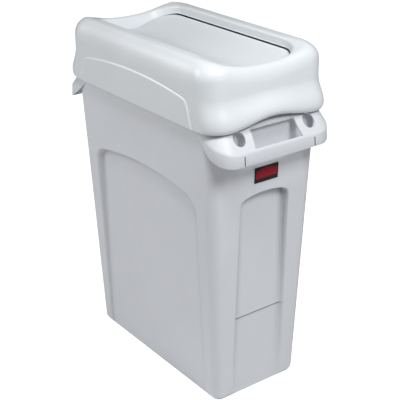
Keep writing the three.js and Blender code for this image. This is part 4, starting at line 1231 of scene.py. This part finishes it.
class BinColours(bpy.types.PropertyGroup):
    """Colours of the plastics, with a painted highlight for the hood's side panel edges."""

    container: FloatVectorProperty(
        name="Container", description="Grey of the container and its handles",
        subtype="COLOR", size=3, default=(0.606, 0.624, 0.658), min=0.0, max=1.0)
    hood: FloatVectorProperty(
        name="Hood", description="Grey of the hood",
        subtype="COLOR", size=3, default=(0.63, 0.66, 0.685), min=0.0, max=1.0)
    # Painted highlight along the rounded edge of each side panel, standing in for light caught there
    panel_edge_highlight: FloatVectorProperty(
        name="Panel edge", description="Painted highlight: paler grey of the rounded edge round each side panel of the hood",
        subtype="COLOR", size=3, default=(0.80, 0.82, 0.84), min=0.0, max=1.0)
    door: FloatVectorProperty(
        name="Door", description="Grey of the swinging door",
        subtype="COLOR", size=3, default=(0.62, 0.65, 0.675), min=0.0, max=1.0)
    badge_plate: FloatVectorProperty(
        name="Badge plate", description="Dark border of the badge",
        subtype="COLOR", size=3, default=(0.012, 0.010, 0.011), min=0.0, max=1.0)
    badge_field: FloatVectorProperty(
        name="Badge field", description="Plain field in the middle of the badge",
        subtype="COLOR", size=3, default=(0.24, 0.003, 0.016), min=0.0, max=1.0)
    floor: FloatVectorProperty(
        name="Floor", description="Pale floor of the stage",
        subtype="COLOR", size=3, default=(0.9, 0.9, 0.9), min=0.0, max=1.0)


# Operators
class BIN_OT_container(bpy.types.Operator):
    """Model the tapered container with its recesses, rim and vent channels"""

    bl_idname = "bin.container"
    bl_label = "Container"

    def execute(self, context):
        colours = context.scene.bin_colours
        # Container plastic, with painted shade darkening its crevices
        plastic = moulded_plastic("container plastic", tuple(colours.container), roughness=0.44, grain=0.10)
        shell = woven_grid("container", container_rings())
        join_all(shell, channel_fins())
        smooth_shade(shell, degrees=50.0)
        dress(shell, plastic)
        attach(shell, "bin")
        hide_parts("bin_body")
        return {"FINISHED"}


class BIN_OT_handles(bpy.types.Operator):
    """Model the visor handle at each end, with its hand hole, cinch holes and slits"""

    bl_idname = "bin.handles"
    bl_label = "Handles"

    def execute(self, context):
        half = [grip_section(station) for station in grip_stations()]
        left = [[(-x, y, z) for x, y, z in row] for row in reversed(half[1:])]
        handle = woven_grid("front_handle", left + half)
        cut(handle, hand_hole_cutter())
        for side in (-1.0, 1.0):
            cut(handle, cinch_cutter(side))
            cut(handle, slit_cutter(side))
        weld(handle)
        smooth_shade(handle, degrees=32.0)
        dress(handle, bpy.data.materials["container plastic"])
        rear = copy_turned(handle, "rear_handle")
        for piece in (handle, rear):
            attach(piece, "bin")
            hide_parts("bin_body")
        return {"FINISHED"}


class BIN_OT_hood(bpy.types.Operator):
    """Model the hood with its flared skirt, ridges, side panels, shelf and pin brackets"""

    bl_idname = "bin.hood"
    bl_label = "Hood"

    def execute(self, context):
        sizes = context.scene.bin_sizes
        colours = context.scene.bin_colours
        # Hood plastic, with only faint painted shade in its crevices
        plastic = moulded_plastic("hood plastic", tuple(colours.hood), roughness=0.36, grain=0.06,
                                  coat=0.05, painted_crevice_shade=0.95)
        shell = woven_grid("hood", hood_rings(), closed_stack=True)
        shelf = woven_grid("hood_shelf", shelf_rings(), closed_stack=True)
        pad = woven_grid("hood_side_panel", pad_rings(sizes.pad_proud / MM))
        brackets = pin_brackets()
        brackets += [copy_turned(part, part.name + "_rear") for part in brackets]
        for piece in [shell, shelf, pad] + brackets:
            dress(piece, plastic)
        # Painted highlight: the side panel's edge faces get a paler grey where light would catch the rounded
        # edge
        pale = moulded_plastic("hood panel edge highlight", tuple(colours.panel_edge_highlight), roughness=0.36, grain=0.06,
                               coat=0.05)
        pad.data.materials.append(pale)
        for face in pad.data.polygons:
            if abs(face.normal.x) < HIGHLIGHT_EDGE_FACING:
                face.material_index = 1
        join_all(shell, [shelf, pad, copy_turned(pad, "hood_side_panel_left")] + brackets)
        smooth_shade(shell, degrees=45.0)
        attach(shell, "hood")
        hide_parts("lid_hood")
        return {"FINISHED"}


class BIN_OT_door(bpy.types.Operator):
    """Model the swinging door with its turned-down edge, ears and clips"""

    bl_idname = "bin.door"
    bl_label = "Door"

    def execute(self, context):
        colours = context.scene.bin_colours
        # Door plastic, with painted shade darkening its crevices
        plastic = moulded_plastic("door plastic", tuple(colours.door), roughness=0.40, grain=0.06)
        panel = woven_grid("door_panel", door_rings(context.scene.bin_sizes.door_rounding / MM))
        join_all(panel, door_ears() + door_clips())
        smooth_shade(panel, degrees=45.0)
        dress(panel, plastic)
        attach(panel, "door")
        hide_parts("swing_door")
        return {"FINISHED"}


class BIN_OT_hardware(bpy.types.Operator):
    """Dress the two headed pins in drawn steel and model the counterweight bar"""

    bl_idname = "bin.hardware"
    bl_label = "Pins and bar"

    def execute(self, context):
        steel = drawn_steel("drawn steel")
        for node in ("front_pivot_pin", "rear_pivot_pin"):
            dress(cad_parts[node], steel)
        bar = lying_cylinder(BAR_RADIUS, 2.0 * BAR_HALF_LENGTH, 0.0, BAR_HEIGHT, vertices=48)
        bar.name = "weight_bar"
        round_edges(bar, BAR_BEVEL, segments=3)
        smooth_shade(bar, degrees=30.0)
        dress(bar, steel)
        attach(bar, "door")
        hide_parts("counterweight_bar")
        return {"FINISHED"}


class BIN_OT_badge(bpy.types.Operator):
    """Model the plain badge below the front handle"""

    bl_idname = "bin.badge"
    bl_label = "Badge"

    def execute(self, context):
        sizes = context.scene.bin_sizes
        colours = context.scene.bin_colours
        low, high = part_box("front_badge")
        width, thickness, height = [size / MM for size in sizes.badge_size]
        centre_z = (low[2] + high[2]) / 2 / MM
        lean = math.atan2(TOP_HALF_LENGTH - BASE_HALF_LENGTH, TAPER_HEIGHT)
        back = skin_half_length(centre_z) + BADGE_EMBED

        def leaned(outline, out):
            return [(across, -back - out - up * math.sin(lean), centre_z + up * math.cos(lean))
                    for across, up in outline]

        corners = []
        for corner, (sx, sz) in enumerate([(1, 1), (-1, 1), (-1, -1), (1, -1)]):
            for i in range(sizes.facets + 1):
                angle = math.pi / 2 * (corner + i / sizes.facets)
                corners.append((sx * (width / 2 - BADGE_CORNER) + BADGE_CORNER * math.cos(angle),
                                sz * (height / 2 - BADGE_CORNER) + BADGE_CORNER * math.sin(angle)))
        half_field = width / 2 - BADGE_BORDER
        foot = BADGE_FIELD_FOOT - height / 2
        arch = []
        for i in range(BADGE_ARCH_STEPS + 1):
            way = mix(-1.0, 1.0, i / BADGE_ARCH_STEPS)
            arch.append((-half_field * way, height / 2 - BADGE_BORDER - BADGE_ARCH_DROP * way**2))
        arch += [(-half_field, foot), (half_field, foot)]
        proud = thickness - BADGE_EMBED
        board = plate("badge_plate", leaned(corners, 0.0), (0.0, -proud, 0.0), bevel=BADGE_BEVEL)
        raised = (0.0, -BADGE_FIELD_SHEET, 0.0)
        field = plate("badge_field", leaned(arch, proud), raised, bevel=BADGE_FIELD_BEVEL)
        # Satin plastics, with painted shade darkening their crevices
        satin = {"roughness": 0.5, "grain": 0.02, "shine": 0.2}
        dress(board, moulded_plastic("badge plate satin", tuple(colours.badge_plate), **satin))
        dress(field, moulded_plastic("badge field satin", tuple(colours.badge_field), **satin))
        for piece in (board, field):
            smooth_shade(piece, degrees=35.0)
            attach(piece, "bin")
            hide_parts("front_badge")
        return {"FINISHED"}


class BIN_OT_stage(bpy.types.Operator):
    """Set out the pale floor, the soft studio lights and the camera"""

    bl_idname = "bin.stage"
    bl_label = "Stage"

    def execute(self, context):
        none_selected()
        bpy.ops.mesh.primitive_plane_add(size=FLOOR_SIZE, location=(0.0, 0.0, -FLOOR_DROP))
        floor = bpy.context.object
        floor.name = "stage_floor"
        place_mesh(floor)
        colour = tuple(context.scene.bin_colours.floor)
        dress(floor, lit_floor("lit floor", colour, FLOOR_GLOW, FLOOR_SEEN_GLOW))

        world = bpy.data.worlds.new("soft studio")
        context.scene.world = world
        world.use_nodes = True
        sky = world.node_tree.nodes["Background"]
        sky.inputs["Color"].default_value = (1.0, 1.0, 1.0, 1.0)
        seen_brighter(world.node_tree, sky.inputs["Strength"], SKY_GLOW, SKY_SEEN_GLOW)
        context.scene.view_settings.view_transform = "Standard"
        for softbox in SOFTBOXES:
            hang_softbox(context, *softbox)
        set_camera(context)
        return {"FINISHED"}


class BIN_PT_panel(bpy.types.Panel):
    """The bin's operators and settings"""

    bl_idname = "BIN_PT_panel"
    bl_label = "Swing Lid Recycling Bin"
    bl_space_type = "VIEW_3D"
    bl_region_type = "UI"
    bl_category = "Bin"

    def draw(self, context):
        column = self.layout.column(align=True)
        for operator in PIECE_OPERATORS:
            column.operator(operator.bl_idname)
        for group in (context.scene.bin_sizes, context.scene.bin_colours):
            box = self.layout.box()
            for name in group.bl_rna.properties.keys():
                if name not in ("rna_type", "name"):
                    box.prop(group, name)


PIECE_OPERATORS = (
    BIN_OT_container,
    BIN_OT_handles,
    BIN_OT_hood,
    BIN_OT_door,
    BIN_OT_hardware,
    BIN_OT_badge,
    BIN_OT_stage,
)
CLASSES = (BinSizes, BinColours) + PIECE_OPERATORS + (BIN_PT_panel,)


def register():
    for item in CLASSES:
        bpy.utils.register_class(item)
    bpy.types.Scene.bin_sizes = PointerProperty(type=BinSizes)
    bpy.types.Scene.bin_colours = PointerProperty(type=BinColours)


def unregister():
    del bpy.types.Scene.bin_colours
    del bpy.types.Scene.bin_sizes
    for item in reversed(CLASSES):
        bpy.utils.unregister_class(item)


def main():
    register()
    bpy.ops.bin.container()
    bpy.ops.bin.handles()
    bpy.ops.bin.hood()
    bpy.ops.bin.door()
    bpy.ops.bin.hardware()
    bpy.ops.bin.badge()
    bpy.ops.bin.stage()
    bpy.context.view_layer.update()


if __name__ == "__main__":
    main()
